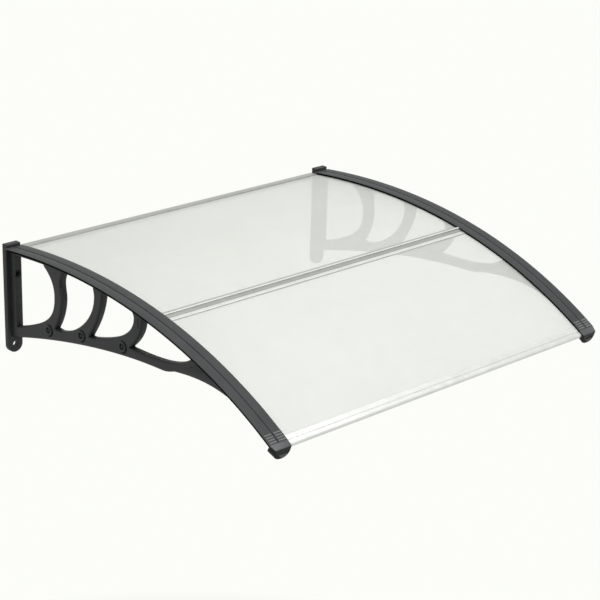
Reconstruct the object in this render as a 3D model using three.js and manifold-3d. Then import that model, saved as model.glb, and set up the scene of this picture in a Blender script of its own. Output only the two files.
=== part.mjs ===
// Door canopy: two scrolled wall brackets carry curved rails, and the rails clamp two arched
// polycarbonate panels between three aluminium cross bars.
// Millimetres. +X runs along the wall, +Y points into the wall and +Z is up.
// The origin is the middle of the flat back of the rear bar, on the wall.

import * as THREE from 'three';
import { mergeVertices } from 'three/addons/utils/BufferGeometryUtils.js';
import Module from 'manifold-3d';

const wasm = await Module();
wasm.setup();

// Overall form
const CANOPY_WIDTH = 1000; // over the outer sides of the two rails
const RAIL_LENGTH = 918; // along the top of a rail, from the wall to its end cap
const RAIL_WIDTH = 48;
const RAIL_RISE_ANGLE = 5.8; // degrees by which the rails climb as they leave the wall
const RADIUS_AT_WALL = 2130; // the rails bend gently at the wall
const RADIUS_AT_FRONT = 1020; // and more tightly at the front
const RAIL_TOP = 12; // height of the rail tops at the wall
const RAIL_STEP = 38; // longest straight facet along a rail

// Clearances
const GAP = 0.3; // between pieces that touch
const HOLE_CLEARANCE = 0.3; // around a screw

// Rail cover: a flat strip with a fine groove along its middle
const COVER_THICKNESS = 5.5;
const COVER_GROOVE_WIDTH = 3;
const COVER_GROOVE_DEPTH = 1.6;
const GRIP_COUNT = 4;
const GRIP_PITCH = 6.2;
const GRIP_LENGTH = 3.4; // along the rail
const GRIP_HEIGHT = 1;
const GRIP_SIDE_MARGIN = 3;
const GRIP_FRONT_MARGIN = 2.4; // last grip to the end of the cover

// End cap of a rail
const CAP_LENGTH = 17;
const CAP_HEIGHT = 27;
const CAP_SIDE_HEIGHT = 9;
const CAP_EDGE_DROP = 2.6; // fall of the top from the cover to the front edge
const CAP_BULGE = 3; // how far the face swells forward
const CAP_HOOK_RADIUS = 6; // hollow behind the hooked lower lip

// Panels and the seals under their edges
const PANEL_THICKNESS = 3;
const PANEL_TUCK = 22; // how far the panels reach under each rail
const SEAL_THICKNESS = 1.2;
const SEAL_WIDTH = 7;

// Bracket: wall plate, spine, curved arm and three scrolled struts, moulded in one piece
const PLATE_WIDTH = 39;
const PLATE_THICKNESS = 12;
const PLATE_DROP = 250.5; // rail top to the lower end of the plate
const HEAD_RISE = 8.7; // head block above the rail top
const HEAD_DEPTH = 15;
const TAB_HOLE_RADIUS = 6.5;
const TAB_HOLE_HEIGHT = 19.5; // above the lower end of the plate
const UPPER_HOLE_DROP = 57; // below the rail top
const UPPER_HOLE_RADIUS = 3;
const COUNTERBORE_RADIUS = 5.5;
const COUNTERBORE_FLOOR = 7; // material left under the screw head
const RING_RADIUS = 8.8; // raised rim around the upper hole
const RING_HEIGHT = 1.2;
const WEB_THICKNESS = 19;
const WEB_CHAMFER = 4;
const ARM_DEPTH = 19.5; // seen from the side
const STRUT_DEPTH = 26;
const SPINE_DEPTH = 30; // from the wall
const SHELF_THICKNESS = 5; // top of the bracket, under the seals
const ARM_DROP_AT_WALL = 197; // arm centreline below the rail top
const ARM_REACH = 640; // from the wall to where the arm runs into the rail
const ARM_KNEE_REACH = 545; // from the wall to where the arm turns up
const ARM_KNEE_DROP = 115;
const ARM_BOW = 12; // rise of the arm above a straight line
const ARM_END_DROP = 80;
const FAIRING_START = 690; // along the rail
const FAIRING_END = 830;
const FAIRING_BOW = 22;
const FAIRING_INSET = 2; // from the sides of the web
const STRUT_FACETS = 10;
const SWEEP_FACET = 3; // a blend reaches this far up its strut
const FLARE_FACET = 6; // and a flare starts here
const SWEEP_BOW = 0.06; // of the length of the blend
const FLARE_BOW = 0.14;
const BOSS_RADIUS = 12.5;
const BOSS_RISE = 14; // over the arm centreline
const BOSS_PROUD = 2;
const BOSS_GROOVE_RADIUS = 7.5;
const BOSS_GROOVE_WIDTH = 2.4;
// Feet and tops are distances from the wall. A sweep or flare is how far a strut spreads
// towards the wall where it meets the arm or the rail.
const STRUT_1_FOOT = 154;
const STRUT_1_TOP = 176;
const STRUT_1_BOW = 23;
const STRUT_1_SWEEP = 93;
const STRUT_1_FLARE = 34;
const STRUT_2_FOOT = 271;
const STRUT_2_TOP = 330;
const STRUT_2_BOW = 14;
const STRUT_2_SWEEP = 62;
const STRUT_3_FOOT = 413;
const STRUT_3_TOP = 464;
const STRUT_3_BOW = 11;
const STRUT_3_SWEEP = 88;
const STRUTS = [
  { foot: STRUT_1_FOOT, top: STRUT_1_TOP, bow: STRUT_1_BOW, sweep: STRUT_1_SWEEP, flare: STRUT_1_FLARE },
  { foot: STRUT_2_FOOT, top: STRUT_2_TOP, bow: STRUT_2_BOW, sweep: STRUT_2_SWEEP, flare: 0 },
  { foot: STRUT_3_FOOT, top: STRUT_3_TOP, bow: STRUT_3_BOW, sweep: STRUT_3_SWEEP, flare: 0 },
];

// Cross bars
const BAR_LIP = 1.6; // metal thickness
const REAR_BAR_DEPTH = 22;
const REAR_BAR_HEIGHT = 18;
const REAR_BAR_CROWN = 3.2; // above the panels
const MIDDLE_BAR_START = 499; // along the rail
const MIDDLE_BAR_WIDTH = 33;
const MIDDLE_BAR_CROWN = 5.2;
const BAR_WEB = 2.4; // upright wall between two panels
const FRONT_BAR_SETBACK = 12; // behind the front end of the rail covers
const FRONT_BAR_FLANGE = 11.4;
const FRONT_BAR_NOSE = 13; // length of the rounded nose
const FRONT_BAR_NOSE_HEIGHT = 10;
const BAR_FOOT_INSET = 3; // lower lip of a bar, behind its upper edge

// Cover screws, driven up through the bracket into the cover
const SCREW_PLACES = [70, 250, 560, 850]; // along the rail
const SCREW_RADIUS = 2;
const SCREW_HEAD_RADIUS = 3.4;
const SCREW_HEAD_HEIGHT = 2.6;
const SCREW_BITE = 3.6; // into the cover
const SCREW_RECESS = 3.2; // pocket for the head, up into the bracket
const SCREW_SIDE = 21; // from the outer side of the rail
const ROUND_SIDES = 16;

const MATERIALS = {
  bracket: new THREE.MeshStandardMaterial({ color: 0x2f3133, roughness: 0.55, metalness: 0 }),
  cover: new THREE.MeshStandardMaterial({ color: 0x4a4b4d, roughness: 0.6, metalness: 0 }),
  cap: new THREE.MeshStandardMaterial({ color: 0x3a3b3d, roughness: 0.4, metalness: 0 }),
  panel: new THREE.MeshStandardMaterial({ color: 0xeeefec, roughness: 0.15, metalness: 0 }),
  aluminium: new THREE.MeshStandardMaterial({ color: 0xb9bbb9, roughness: 0.35, metalness: 0.9 }),
  seal: new THREE.MeshStandardMaterial({ color: 0x1c1d1e, roughness: 0.85, metalness: 0 }),
  screw: new THREE.MeshStandardMaterial({ color: 0x8d9093, roughness: 0.35, metalness: 0.9 }),
};

// Levels measured along the rail's upward normal, from the top of the rail
const PANEL_TOP = -COVER_THICKNESS - GAP;
const PANEL_BOTTOM = PANEL_TOP - PANEL_THICKNESS;
const SEAL_TOP = PANEL_BOTTOM - GAP;
const SEAL_BOTTOM = SEAL_TOP - SEAL_THICKNESS;
const SHELF_TOP = SEAL_BOTTOM - GAP;
const SHELF_BOTTOM = SHELF_TOP - SHELF_THICKNESS;
const RAIL_MIDDLE = RAIL_WIDTH / 2;
const PANEL_SIDE = RAIL_WIDTH - PANEL_TUCK;
const FRONT_BAR_START = RAIL_LENGTH - FRONT_BAR_SETBACK;
const COVER_START = HEAD_DEPTH + GAP;
const WEB_SIDE = RAIL_MIDDLE - WEB_THICKNESS / 2;

// Slope of the rail, in radians below level, at a distance along it
function railSlope(s) {
  const wallCurve = 1 / RADIUS_AT_WALL;
  const frontCurve = 1 / RADIUS_AT_FRONT;
  const gain = (frontCurve - wallCurve) / RAIL_LENGTH;
  return THREE.MathUtils.degToRad(-RAIL_RISE_ANGLE) + wallCurve * s + (gain * s * s) / 2;
}

// Point at a distance along the rail and a height over its top, as [distance from wall, height]
function railPoint(s, n) {
  const steps = 200;
  let out = 0;
  let up = RAIL_TOP;
  for (let i = 0; i < steps; i += 1) {
    const slope = railSlope(((i + 0.5) * s) / steps);
    out += (Math.cos(slope) * s) / steps;
    up -= (Math.sin(slope) * s) / steps;
  }
  const slope = railSlope(s);
  return [out + n * Math.sin(slope), up + n * Math.cos(slope)];
}

// Distance along the rail whose top lies a given distance from the wall
function railAt(distance) {
  let s = distance;
  for (let i = 0; i < 4; i += 1) {
    s += distance - railPoint(s, 0)[0];
  }
  return s;
}

// Facet ends shared by every strip that follows the rail
function stations(from, to) {
  const count = Math.ceil(RAIL_LENGTH / RAIL_STEP);
  const list = [from];
  for (let i = 0; i <= count; i += 1) {
    const s = (RAIL_LENGTH * i) / count;
    if (s > from + 1 && s < to - 1) list.push(s);
  }
  list.push(to);
  return list;
}

// Side outlines are drawn as [distance from wall, height]; a shape holds them as (Y, Z)
function sideShape(points) {
  return new THREE.Shape(points.map(([out, up]) => new THREE.Vector2(-out, up)));
}

// Outline of a strip along the rail between two distances and two heights
function stripOutline(from, to, low, high) {
  const along = stations(from, to);
  const top = along.map((s) => railPoint(s, high));
  const bottom = along.map((s) => railPoint(s, low)).reverse();
  return [...top, ...bottom];
}

// Turns a side outline into a body that runs from x0 to x1
function slabGeometry(outline, x0, x1, chamfer = 0) {
  const geometry = new THREE.ExtrudeGeometry(sideShape(outline), {
    depth: x1 - x0 - 2 * chamfer,
    bevelEnabled: chamfer > 0,
    bevelThickness: chamfer,
    bevelSize: chamfer,
    bevelOffset: -chamfer,
    bevelSegments: 1,
    steps: 1,
    curveSegments: 1,
  });
  const alongY = new THREE.Vector3(0, 1, 0);
  const alongZ = new THREE.Vector3(0, 0, 1);
  const alongX = new THREE.Vector3(1, 0, 0);
  geometry.applyMatrix4(new THREE.Matrix4().makeBasis(alongY, alongZ, alongX));
  return geometry.translate(x0 + chamfer, 0, 0);
}

function toSolid(geometry) {
  const bare = geometry.clone();
  bare.deleteAttribute('normal');
  bare.deleteAttribute('uv');
  const merged = mergeVertices(bare, 1e-4);
  return new wasm.Manifold(new wasm.Mesh({
    numProp: 3,
    vertProperties: new Float32Array(merged.attributes.position.array),
    triVerts: new Uint32Array(merged.index.array),
  }));
}

function toGeometry(solid) {
  const mesh = solid.getMesh();
  const geometry = new THREE.BufferGeometry();
  geometry.setAttribute('position', new THREE.BufferAttribute(mesh.vertProperties, 3));
  geometry.setIndex(new THREE.BufferAttribute(mesh.triVerts, 1));
  geometry.computeVertexNormals();
  return geometry;
}

const slab = (outline, x0, x1, chamfer) => toSolid(slabGeometry(outline, x0, x1, chamfer));
const strip = (from, to, low, high, x0, x1) => slab(stripOutline(from, to, low, high), x0, x1);
const joined = (solids) => solids.reduce((whole, solid) => whole.add(solid));

// Cylinder along X, given by its centre in the side view
function crossCylinder(centre, radius, x0, x1) {
  const geometry = new THREE.CylinderGeometry(radius, radius, x1 - x0, ROUND_SIDES);
  geometry.rotateZ(Math.PI / 2);
  return toSolid(geometry.translate((x0 + x1) / 2, -centre[0], centre[1]));
}

// Cylinder along Y, from one distance from the wall to another
function wallCylinder(x, up, radius, from, to) {
  const geometry = new THREE.CylinderGeometry(radius, radius, to - from, ROUND_SIDES);
  return toSolid(geometry.translate(x, -(from + to) / 2, up));
}

// Cylinder square to the rail, between two heights over its top
function railCylinder(s, x, radius, low, high) {
  const geometry = new THREE.CylinderGeometry(radius, radius, high - low, ROUND_SIDES);
  geometry.rotateX(Math.PI / 2 + railSlope(s));
  const [out, up] = railPoint(s, (low + high) / 2);
  return toSolid(geometry.translate(x, -out, up));
}

// Points of an arc from one point to another, bowed towards the right of its direction
function arcPoints(start, end, bow, count) {
  const a = new THREE.Vector2(...start);
  const b = new THREE.Vector2(...end);
  const chord = b.clone().sub(a);
  const half = chord.length() / 2;
  const radius = (half * half + bow * bow) / (2 * bow);
  const aside = new THREE.Vector2(chord.y, -chord.x).normalize();
  const centre = a.clone().add(b).multiplyScalar(0.5).addScaledVector(aside, bow - radius);
  const reach = Math.asin(Math.min(1, half / radius));
  const along = chord.clone().normalize();
  return Array.from({ length: count + 1 }, (_, i) => {
    const angle = reach * ((2 * i) / count - 1);
    const point = centre.clone();
    point.addScaledVector(aside, radius * Math.cos(angle));
    point.addScaledVector(along, radius * Math.sin(angle));
    return [point.x, point.y];
  });
}

// Outline of a bar of even depth around a centreline
function barOutline(centreline, depth) {
  const sides = [[], []];
  centreline.forEach((point, i) => {
    const before = centreline[Math.max(0, i - 1)];
    const after = centreline[Math.min(centreline.length - 1, i + 1)];
    const along = new THREE.Vector2(after[0] - before[0], after[1] - before[1]).normalize();
    sides[0].push([point[0] - (along.y * depth) / 2, point[1] + (along.x * depth) / 2]);
    sides[1].push([point[0] + (along.y * depth) / 2, point[1] - (along.x * depth) / 2]);
  });
  return [...sides[0], ...sides[1].reverse()];
}

// Centreline of the arm: a long bow from the plate, then a bend up into the rail
function armCentreline() {
  const start = [PLATE_THICKNESS / 2, RAIL_TOP - ARM_DROP_AT_WALL];
  const knee = [ARM_KNEE_REACH, RAIL_TOP - ARM_KNEE_DROP];
  const bow = arcPoints(knee, start, ARM_BOW, 12).reverse();
  const bend = new THREE.QuadraticBezierCurve(
    new THREE.Vector2(...knee),
    new THREE.Vector2((ARM_KNEE_REACH + ARM_REACH) / 2, RAIL_TOP - ARM_KNEE_DROP + 4),
    new THREE.Vector2(ARM_REACH, RAIL_TOP - ARM_END_DROP),
  );
  return [...bow, ...bend.getPoints(5).slice(1).map((p) => [p.x, p.y])];
}

// Height of the arm centreline at a distance from the wall
function armHeight(distance) {
  const line = armCentreline();
  const i = Math.max(1, line.findIndex(([out]) => out >= distance));
  const [a, b] = [line[i - 1], line[i]];
  return a[1] + ((b[1] - a[1]) * (distance - a[0])) / (b[0] - a[0]);
}

function wallPlate() {
  const bottom = RAIL_TOP - PLATE_DROP;
  const half = PLATE_WIDTH / 2;
  const outline = new THREE.Shape();
  outline.moveTo(-half, RAIL_TOP + HEAD_RISE);
  outline.lineTo(-half, bottom + half);
  outline.absarc(0, bottom + half, half, Math.PI, 2 * Math.PI, false);
  outline.lineTo(half, RAIL_TOP + HEAD_RISE);
  outline.closePath();
  const geometry = new THREE.ExtrudeGeometry(outline, {
    depth: PLATE_THICKNESS,
    bevelEnabled: false,
    curveSegments: 12,
  });
  geometry.rotateX(Math.PI / 2);
  const head = new THREE.BoxGeometry(PLATE_WIDTH, HEAD_DEPTH, HEAD_RISE + COVER_THICKNESS);
  head.translate(0, -HEAD_DEPTH / 2, RAIL_TOP + (HEAD_RISE - COVER_THICKNESS) / 2);
  const middle = [RAIL_MIDDLE, 0, 0];
  return toSolid(geometry.translate(...middle)).add(toSolid(head.translate(...middle)));
}

// Top bar of the bracket, drawn too high so that a cut can leave its upper face flat
function webShelf() {
  return stripOutline(PLATE_THICKNESS - WEB_CHAMFER, RAIL_LENGTH, SHELF_BOTTOM, SHELF_TOP + WEB_CHAMFER);
}

// Raised outer side of the top bar, which the rail cover sits on
function coverKerb() {
  const end = RAIL_LENGTH - WEB_CHAMFER;
  return strip(COVER_START, end, SHELF_TOP - 1, PANEL_TOP, WEB_SIDE, PANEL_SIDE - GAP);
}

function webSpine() {
  const foot = armHeight(SPINE_DEPTH) - ARM_DEPTH / 2;
  const head = railPoint(SPINE_DEPTH, SHELF_TOP)[1];
  const back = PLATE_THICKNESS / 2;
  return [[back, foot], [SPINE_DEPTH, foot], [SPINE_DEPTH, head], [back, head]];
}

function strutCentreline({ foot, top, bow }) {
  const low = [foot, armHeight(foot)];
  const high = railPoint(railAt(top), SHELF_TOP);
  return arcPoints(low, high, bow, STRUT_FACETS);
}

function webStrut(strut) {
  return barOutline(strutCentreline(strut), STRUT_DEPTH);
}

// Arc that hollows out a corner between two points, as deep as a share of its length
function hollowArc(start, end, share) {
  const length = Math.hypot(end[0] - start[0], end[1] - start[1]);
  return arcPoints(start, end, length * share, 6);
}

// Curves that blend a strut into the arm below it and, where it flares, into the rail above it
function webSweeps(strut) {
  const line = strutCentreline(strut);
  const side = webStrut(strut).slice(0, STRUT_FACETS + 1);
  const { foot, top, sweep, flare } = strut;
  const start = foot - sweep;
  const low = [start, armHeight(start) + ARM_DEPTH / 2 - 1];
  const blend = hollowArc(low, side[SWEEP_FACET], SWEEP_BOW);
  const sweeps = [[...blend, line[SWEEP_FACET], line[0], [start, armHeight(start)]]];
  if (flare > 0) {
    const high = railPoint(railAt(top - flare), SHELF_BOTTOM);
    const spread = hollowArc(side[FLARE_FACET], high, FLARE_BOW);
    sweeps.push([...spread, line[STRUT_FACETS], line[FLARE_FACET + 1], line[FLARE_FACET]]);
  }
  return sweeps;
}

// Filled web in front of the arm, thinning out along the rail
function webFairing() {
  const root = armHeight(ARM_KNEE_REACH) - ARM_DEPTH / 2;
  const tip = railPoint(FAIRING_END, SHELF_BOTTOM - 1);
  const lower = arcPoints([ARM_KNEE_REACH, root], tip, -FAIRING_BOW, 10);
  const upper = stations(FAIRING_START, FAIRING_END).map((s) => railPoint(s, SHELF_TOP - 1));
  return [...lower, ...upper.reverse()];
}

function strutBoss(foot) {
  const centre = [foot, armHeight(foot) + BOSS_RISE];
  const x0 = WEB_SIDE - BOSS_PROUD;
  const x1 = WEB_SIDE + WEB_THICKNESS + BOSS_PROUD;
  return { solid: crossCylinder(centre, BOSS_RADIUS, x0, x1), centre, x0, x1 };
}

// Ring cut into both faces of a boss
function bossGrooves({ centre, x0, x1 }) {
  const ring = (from, to) => crossCylinder(centre, BOSS_GROOVE_RADIUS, from, to)
    .subtract(crossCylinder(centre, BOSS_GROOVE_RADIUS - BOSS_GROOVE_WIDTH, from - 1, to + 1));
  return ring(x0 - 1, x0 + BOSS_PROUD).add(ring(x1 - BOSS_PROUD, x1 + 1));
}

function screwHoles(radius, low, high) {
  return joined(SCREW_PLACES.map((s) => {
    return railCylinder(s, SCREW_SIDE, radius + HOLE_CLEARANCE, low, high);
  }));
}

function leftBracket() {
  const x0 = WEB_SIDE;
  const x1 = WEB_SIDE + WEB_THICKNESS;
  const bosses = STRUTS.map(({ foot }) => strutBoss(foot));
  const arm = barOutline(armCentreline(), ARM_DEPTH);
  const webs = [webSpine(), webShelf(), arm, ...STRUTS.map(webStrut)];
  const sweeps = STRUTS.flatMap(webSweeps);
  const upperHole = RAIL_TOP - UPPER_HOLE_DROP;
  const tabHole = RAIL_TOP - PLATE_DROP + TAB_HOLE_HEIGHT;
  const front = SPINE_DEPTH + RING_HEIGHT;
  const aboveShelf = strip(0, RAIL_LENGTH, SHELF_TOP, STRUT_DEPTH, 0, RAIL_WIDTH);
  const body = joined([
    joined(webs.map((outline) => slab(outline, x0, x1, WEB_CHAMFER))).subtract(aboveShelf),
    slab(webFairing(), x0 + FAIRING_INSET, x1 - FAIRING_INSET),
    ...sweeps.map((outline) => slab(outline, x0 + FAIRING_INSET, x1 - FAIRING_INSET)),
    ...bosses.map((boss) => boss.solid),
    wallPlate(),
    coverKerb(),
    wallCylinder(RAIL_MIDDLE, upperHole, RING_RADIUS, PLATE_THICKNESS, front),
  ]);
  const cuts = joined([
    wallCylinder(RAIL_MIDDLE, tabHole, TAB_HOLE_RADIUS, -1, PLATE_THICKNESS + 1),
    wallCylinder(RAIL_MIDDLE, upperHole, UPPER_HOLE_RADIUS, -1, front + 1),
    wallCylinder(RAIL_MIDDLE, upperHole, COUNTERBORE_RADIUS, COUNTERBORE_FLOOR, front + 1),
    screwHoles(SCREW_RADIUS, SHELF_BOTTOM - 1, PANEL_TOP + 1),
    screwHoles(SCREW_HEAD_RADIUS, SHELF_BOTTOM - 1, SHELF_BOTTOM + SCREW_RECESS),
    ...bosses.map(bossGrooves),
  ]);
  return body.subtract(cuts);
}

function leftCover() {
  const body = strip(COVER_START, RAIL_LENGTH, -COVER_THICKNESS, 0, 0, RAIL_WIDTH);
  const grooveSide = (RAIL_WIDTH - COVER_GROOVE_WIDTH) / 2;
  const groove = strip(COVER_START - 1, RAIL_LENGTH + 1, -COVER_GROOVE_DEPTH, 2, grooveSide,
    RAIL_WIDTH - grooveSide);
  const grips = Array.from({ length: GRIP_COUNT }, (_, i) => {
    const end = RAIL_LENGTH - GRIP_FRONT_MARGIN - i * GRIP_PITCH;
    return strip(end - GRIP_LENGTH, end, -1, GRIP_HEIGHT, GRIP_SIDE_MARGIN, RAIL_WIDTH - GRIP_SIDE_MARGIN);
  });
  const holes = screwHoles(SCREW_RADIUS, -COVER_THICKNESS - 1, -COVER_THICKNESS + SCREW_BITE + GAP);
  return joined([body, ...grips]).subtract(groove).subtract(holes);
}

// End cap: a bulging half-round face with a hooked lip below
function leftCap() {
  const start = RAIL_LENGTH + GAP;
  const end = start + CAP_LENGTH;
  const atCap = (along, up) => {
    const [out, height] = railPoint(RAIL_LENGTH, up);
    const slope = railSlope(RAIL_LENGTH);
    const ahead = along - RAIL_LENGTH;
    return [out + ahead * Math.cos(slope), height - ahead * Math.sin(slope)];
  };
  const face = arcPoints([end, -CAP_EDGE_DROP], [end, -CAP_HEIGHT], CAP_BULGE, 8);
  const side = [[start, 0], [end - CAP_EDGE_DROP, -CAP_EDGE_DROP / 2], ...face.map(([s, n]) => [s, n]),
    [start, -CAP_HEIGHT]];
  const body = slab(side.map(([s, n]) => atCap(s, n)), 0, RAIL_WIDTH);
  const front = new THREE.Shape();
  front.moveTo(0, 1);
  front.lineTo(0, -CAP_SIDE_HEIGHT);
  front.absellipse(RAIL_MIDDLE, -CAP_SIDE_HEIGHT, RAIL_MIDDLE, CAP_HEIGHT - CAP_SIDE_HEIGHT, Math.PI,
    2 * Math.PI, false);
  front.lineTo(RAIL_WIDTH, 1);
  front.closePath();
  const mould = new THREE.ExtrudeGeometry(front, {
    depth: 2 * CAP_LENGTH,
    bevelEnabled: false,
    curveSegments: 12,
  });
  mould.rotateX(Math.PI / 2);
  mould.rotateX(railSlope(RAIL_LENGTH));
  const [out, up] = atCap(start - 1, 0);
  mould.translate(0, -out, up);
  const hollow = atCap(start + CAP_HOOK_RADIUS / 2, -COVER_THICKNESS - CAP_HOOK_RADIUS);
  const open = crossCylinder(hollow, CAP_HOOK_RADIUS, -1, RAIL_WIDTH + 1);
  return body.intersect(toSolid(mould)).subtract(open);
}

function leftSeal(from, to) {
  return strip(from, to, SEAL_BOTTOM, SEAL_TOP, PANEL_SIDE, PANEL_SIDE + SEAL_WIDTH);
}

// Cross-bar outlines are drawn as [distance along the rail, height over its top]
const onRail = (outline) => outline.map(([s, n]) => railPoint(s, n));
const BAR_INNER = RAIL_WIDTH + GAP;
const LIP_TOP = PANEL_TOP + GAP + BAR_LIP;
const FOOT_TOP = SEAL_TOP;
const FOOT_BOTTOM = SEAL_BOTTOM;

function betweenRails(outline, inset = BAR_INNER) {
  return slab(onRail(outline), inset, CANOPY_WIDTH - inset);
}

function barFoot(from, to) {
  return slab(onRail([[from, FOOT_TOP], [to, FOOT_TOP], [to, FOOT_BOTTOM], [from, FOOT_BOTTOM]]),
    PANEL_SIDE, CANOPY_WIDTH - PANEL_SIDE);
}

function rearBar() {
  const half = REAR_BAR_HEIGHT / 2;
  const crown = PANEL_TOP + REAR_BAR_CROWN;
  const front = REAR_BAR_DEPTH;
  const outline = [
    [0, half],
    railPoint(front - 8, crown),
    railPoint(front, LIP_TOP),
    railPoint(front, PANEL_TOP + GAP),
    railPoint(BAR_WEB + GAP, PANEL_TOP + GAP),
    railPoint(BAR_WEB + GAP, FOOT_TOP),
    railPoint(front - BAR_FOOT_INSET, FOOT_TOP),
    railPoint(front - BAR_FOOT_INSET, FOOT_BOTTOM),
    railPoint(BAR_WEB + GAP, FOOT_BOTTOM),
    [BAR_WEB, -half],
    [0, -half],
  ];
  return slab(outline, BAR_INNER, CANOPY_WIDTH - BAR_INNER);
}

function middleBar() {
  const from = MIDDLE_BAR_START;
  const to = from + MIDDLE_BAR_WIDTH;
  const web = from + MIDDLE_BAR_WIDTH / 2;
  const crown = PANEL_TOP + MIDDLE_BAR_CROWN;
  const upper = betweenRails([
    [from, PANEL_TOP + GAP], [from, LIP_TOP], [from + 6, LIP_TOP], [from + 9, crown],
    [from + 15, crown], [to - 3, LIP_TOP + 0.4], [to, LIP_TOP], [to, PANEL_TOP + GAP],
  ]);
  const upright = betweenRails([
    [web - BAR_WEB / 2, PANEL_TOP + GAP + 0.5], [web + BAR_WEB / 2, PANEL_TOP + GAP + 0.5],
    [web + BAR_WEB / 2, FOOT_BOTTOM], [web - BAR_WEB / 2, FOOT_BOTTOM],
  ]);
  return joined([upper, upright, barFoot(from + BAR_FOOT_INSET, to - BAR_FOOT_INSET)]);
}

function frontBar() {
  const from = FRONT_BAR_START;
  const bead = from + FRONT_BAR_FLANGE;
  const noseMiddle = LIP_TOP - FRONT_BAR_NOSE_HEIGHT / 2;
  const nose = Array.from({ length: 9 }, (_, i) => {
    const angle = (Math.PI * (4 - i)) / 8;
    const length = FRONT_BAR_NOSE / 2;
    const reach = bead + length + length * Math.cos(angle);
    return [reach, noseMiddle + (FRONT_BAR_NOSE_HEIGHT / 2) * Math.sin(angle)];
  });
  const slotEnd = bead - 2 * BAR_LIP;
  const upper = betweenRails([
    [from, PANEL_TOP + GAP], [from, LIP_TOP], [bead - 1, LIP_TOP], [bead - 0.4, LIP_TOP - 1.1],
    [bead + 0.8, LIP_TOP - 1.1], [bead + 1.6, LIP_TOP], ...nose,
    [bead, LIP_TOP - FRONT_BAR_NOSE_HEIGHT], [bead, FOOT_BOTTOM], [from + BAR_FOOT_INSET, FOOT_BOTTOM],
    [from + BAR_FOOT_INSET, FOOT_TOP], [slotEnd, FOOT_TOP], [slotEnd, PANEL_TOP + GAP],
  ]);
  return upper.add(barFoot(from + BAR_FOOT_INSET, bead - GAP));
}

function panel(from, to) {
  return strip(from, to, PANEL_BOTTOM, PANEL_TOP, PANEL_SIDE, CANOPY_WIDTH - PANEL_SIDE);
}

function leftScrew(s) {
  const neck = SHELF_BOTTOM + SCREW_RECESS - GAP;
  const tip = -COVER_THICKNESS + SCREW_BITE;
  const head = [[0, neck - SCREW_HEAD_HEIGHT], [SCREW_HEAD_RADIUS * 0.7, neck - SCREW_HEAD_HEIGHT],
    [SCREW_HEAD_RADIUS, neck]];
  const shank = [[SCREW_RADIUS, neck], [SCREW_RADIUS, tip - 1], [0, tip]];
  const profile = [...head, ...shank].map(([r, n]) => new THREE.Vector2(r, n));
  const geometry = new THREE.LatheGeometry(profile, ROUND_SIDES);
  geometry.rotateX(Math.PI / 2 + railSlope(s));
  const [out, up] = railPoint(s, 0);
  return toSolid(geometry.translate(SCREW_SIDE, -out, up));
}

const canopy = new THREE.Group();
canopy.name = 'door_canopy';

function place(name, solid, material) {
  const mesh = new THREE.Mesh(toGeometry(solid), material);
  mesh.name = name;
  canopy.add(mesh);
}

// A piece of the left side and its mirror image on the right
function placePair(name, solid, material) {
  const centred = solid.translate([-CANOPY_WIDTH / 2, 0, 0]);
  place(`${name}_left`, centred, material);
  place(`${name}_right`, centred.mirror([1, 0, 0]), material);
}

function placeCentred(name, solid, material) {
  place(name, solid.translate([-CANOPY_WIDTH / 2, 0, 0]), material);
}

const middleWeb = MIDDLE_BAR_START + MIDDLE_BAR_WIDTH / 2;
const rearPanelEnd = middleWeb - BAR_WEB / 2 - GAP;
const frontPanelStart = middleWeb + BAR_WEB / 2 + GAP;
const panelStart = HEAD_DEPTH + GAP;
const panelEnd = FRONT_BAR_START + FRONT_BAR_FLANGE - 2 * BAR_LIP - GAP;
const middleFootStart = MIDDLE_BAR_START + BAR_FOOT_INSET;
const middleFootEnd = MIDDLE_BAR_START + MIDDLE_BAR_WIDTH - BAR_FOOT_INSET;
const rearSealStart = REAR_BAR_DEPTH + GAP;
const frontSealEnd = FRONT_BAR_START + BAR_FOOT_INSET - GAP;

placePair('bracket', leftBracket(), MATERIALS.bracket);
placePair('rail_cover', leftCover(), MATERIALS.cover);
placePair('end_cap', leftCap(), MATERIALS.cap);
placeCentred('rear_panel', panel(panelStart, rearPanelEnd), MATERIALS.panel);
placeCentred('front_panel', panel(frontPanelStart, panelEnd), MATERIALS.panel);
placeCentred('rear_bar', rearBar(), MATERIALS.aluminium);
placeCentred('middle_bar', middleBar(), MATERIALS.aluminium);
placeCentred('front_bar', frontBar(), MATERIALS.aluminium);
placePair('rear_edge_seal', leftSeal(rearSealStart, middleFootStart - GAP), MATERIALS.seal);
placePair('front_edge_seal', leftSeal(middleFootEnd + GAP, frontSealEnd), MATERIALS.seal);
SCREW_PLACES.forEach((s, i) => placePair(`cover_screw_${i + 1}`, leftScrew(s), MATERIALS.screw));

export default canopy;
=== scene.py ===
"""Looks of an arched door canopy: plastic brackets and rails, aluminium bars, polycarbonate sheet.

Shapes are drawn in millimetres on the left side of the canopy, with x = 0 at the outer face of the
left rail, and are shifted, mirrored and scaled to metres when they become a piece.
"""

import logging
import math
from dataclasses import dataclass, field
from enum import Enum
from functools import cached_property
from typing import Callable, Sequence

import bmesh
import bpy
from bmesh.types import BMesh, BMFace, BMVert
from mathutils import Matrix, Quaternion, Vector

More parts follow.
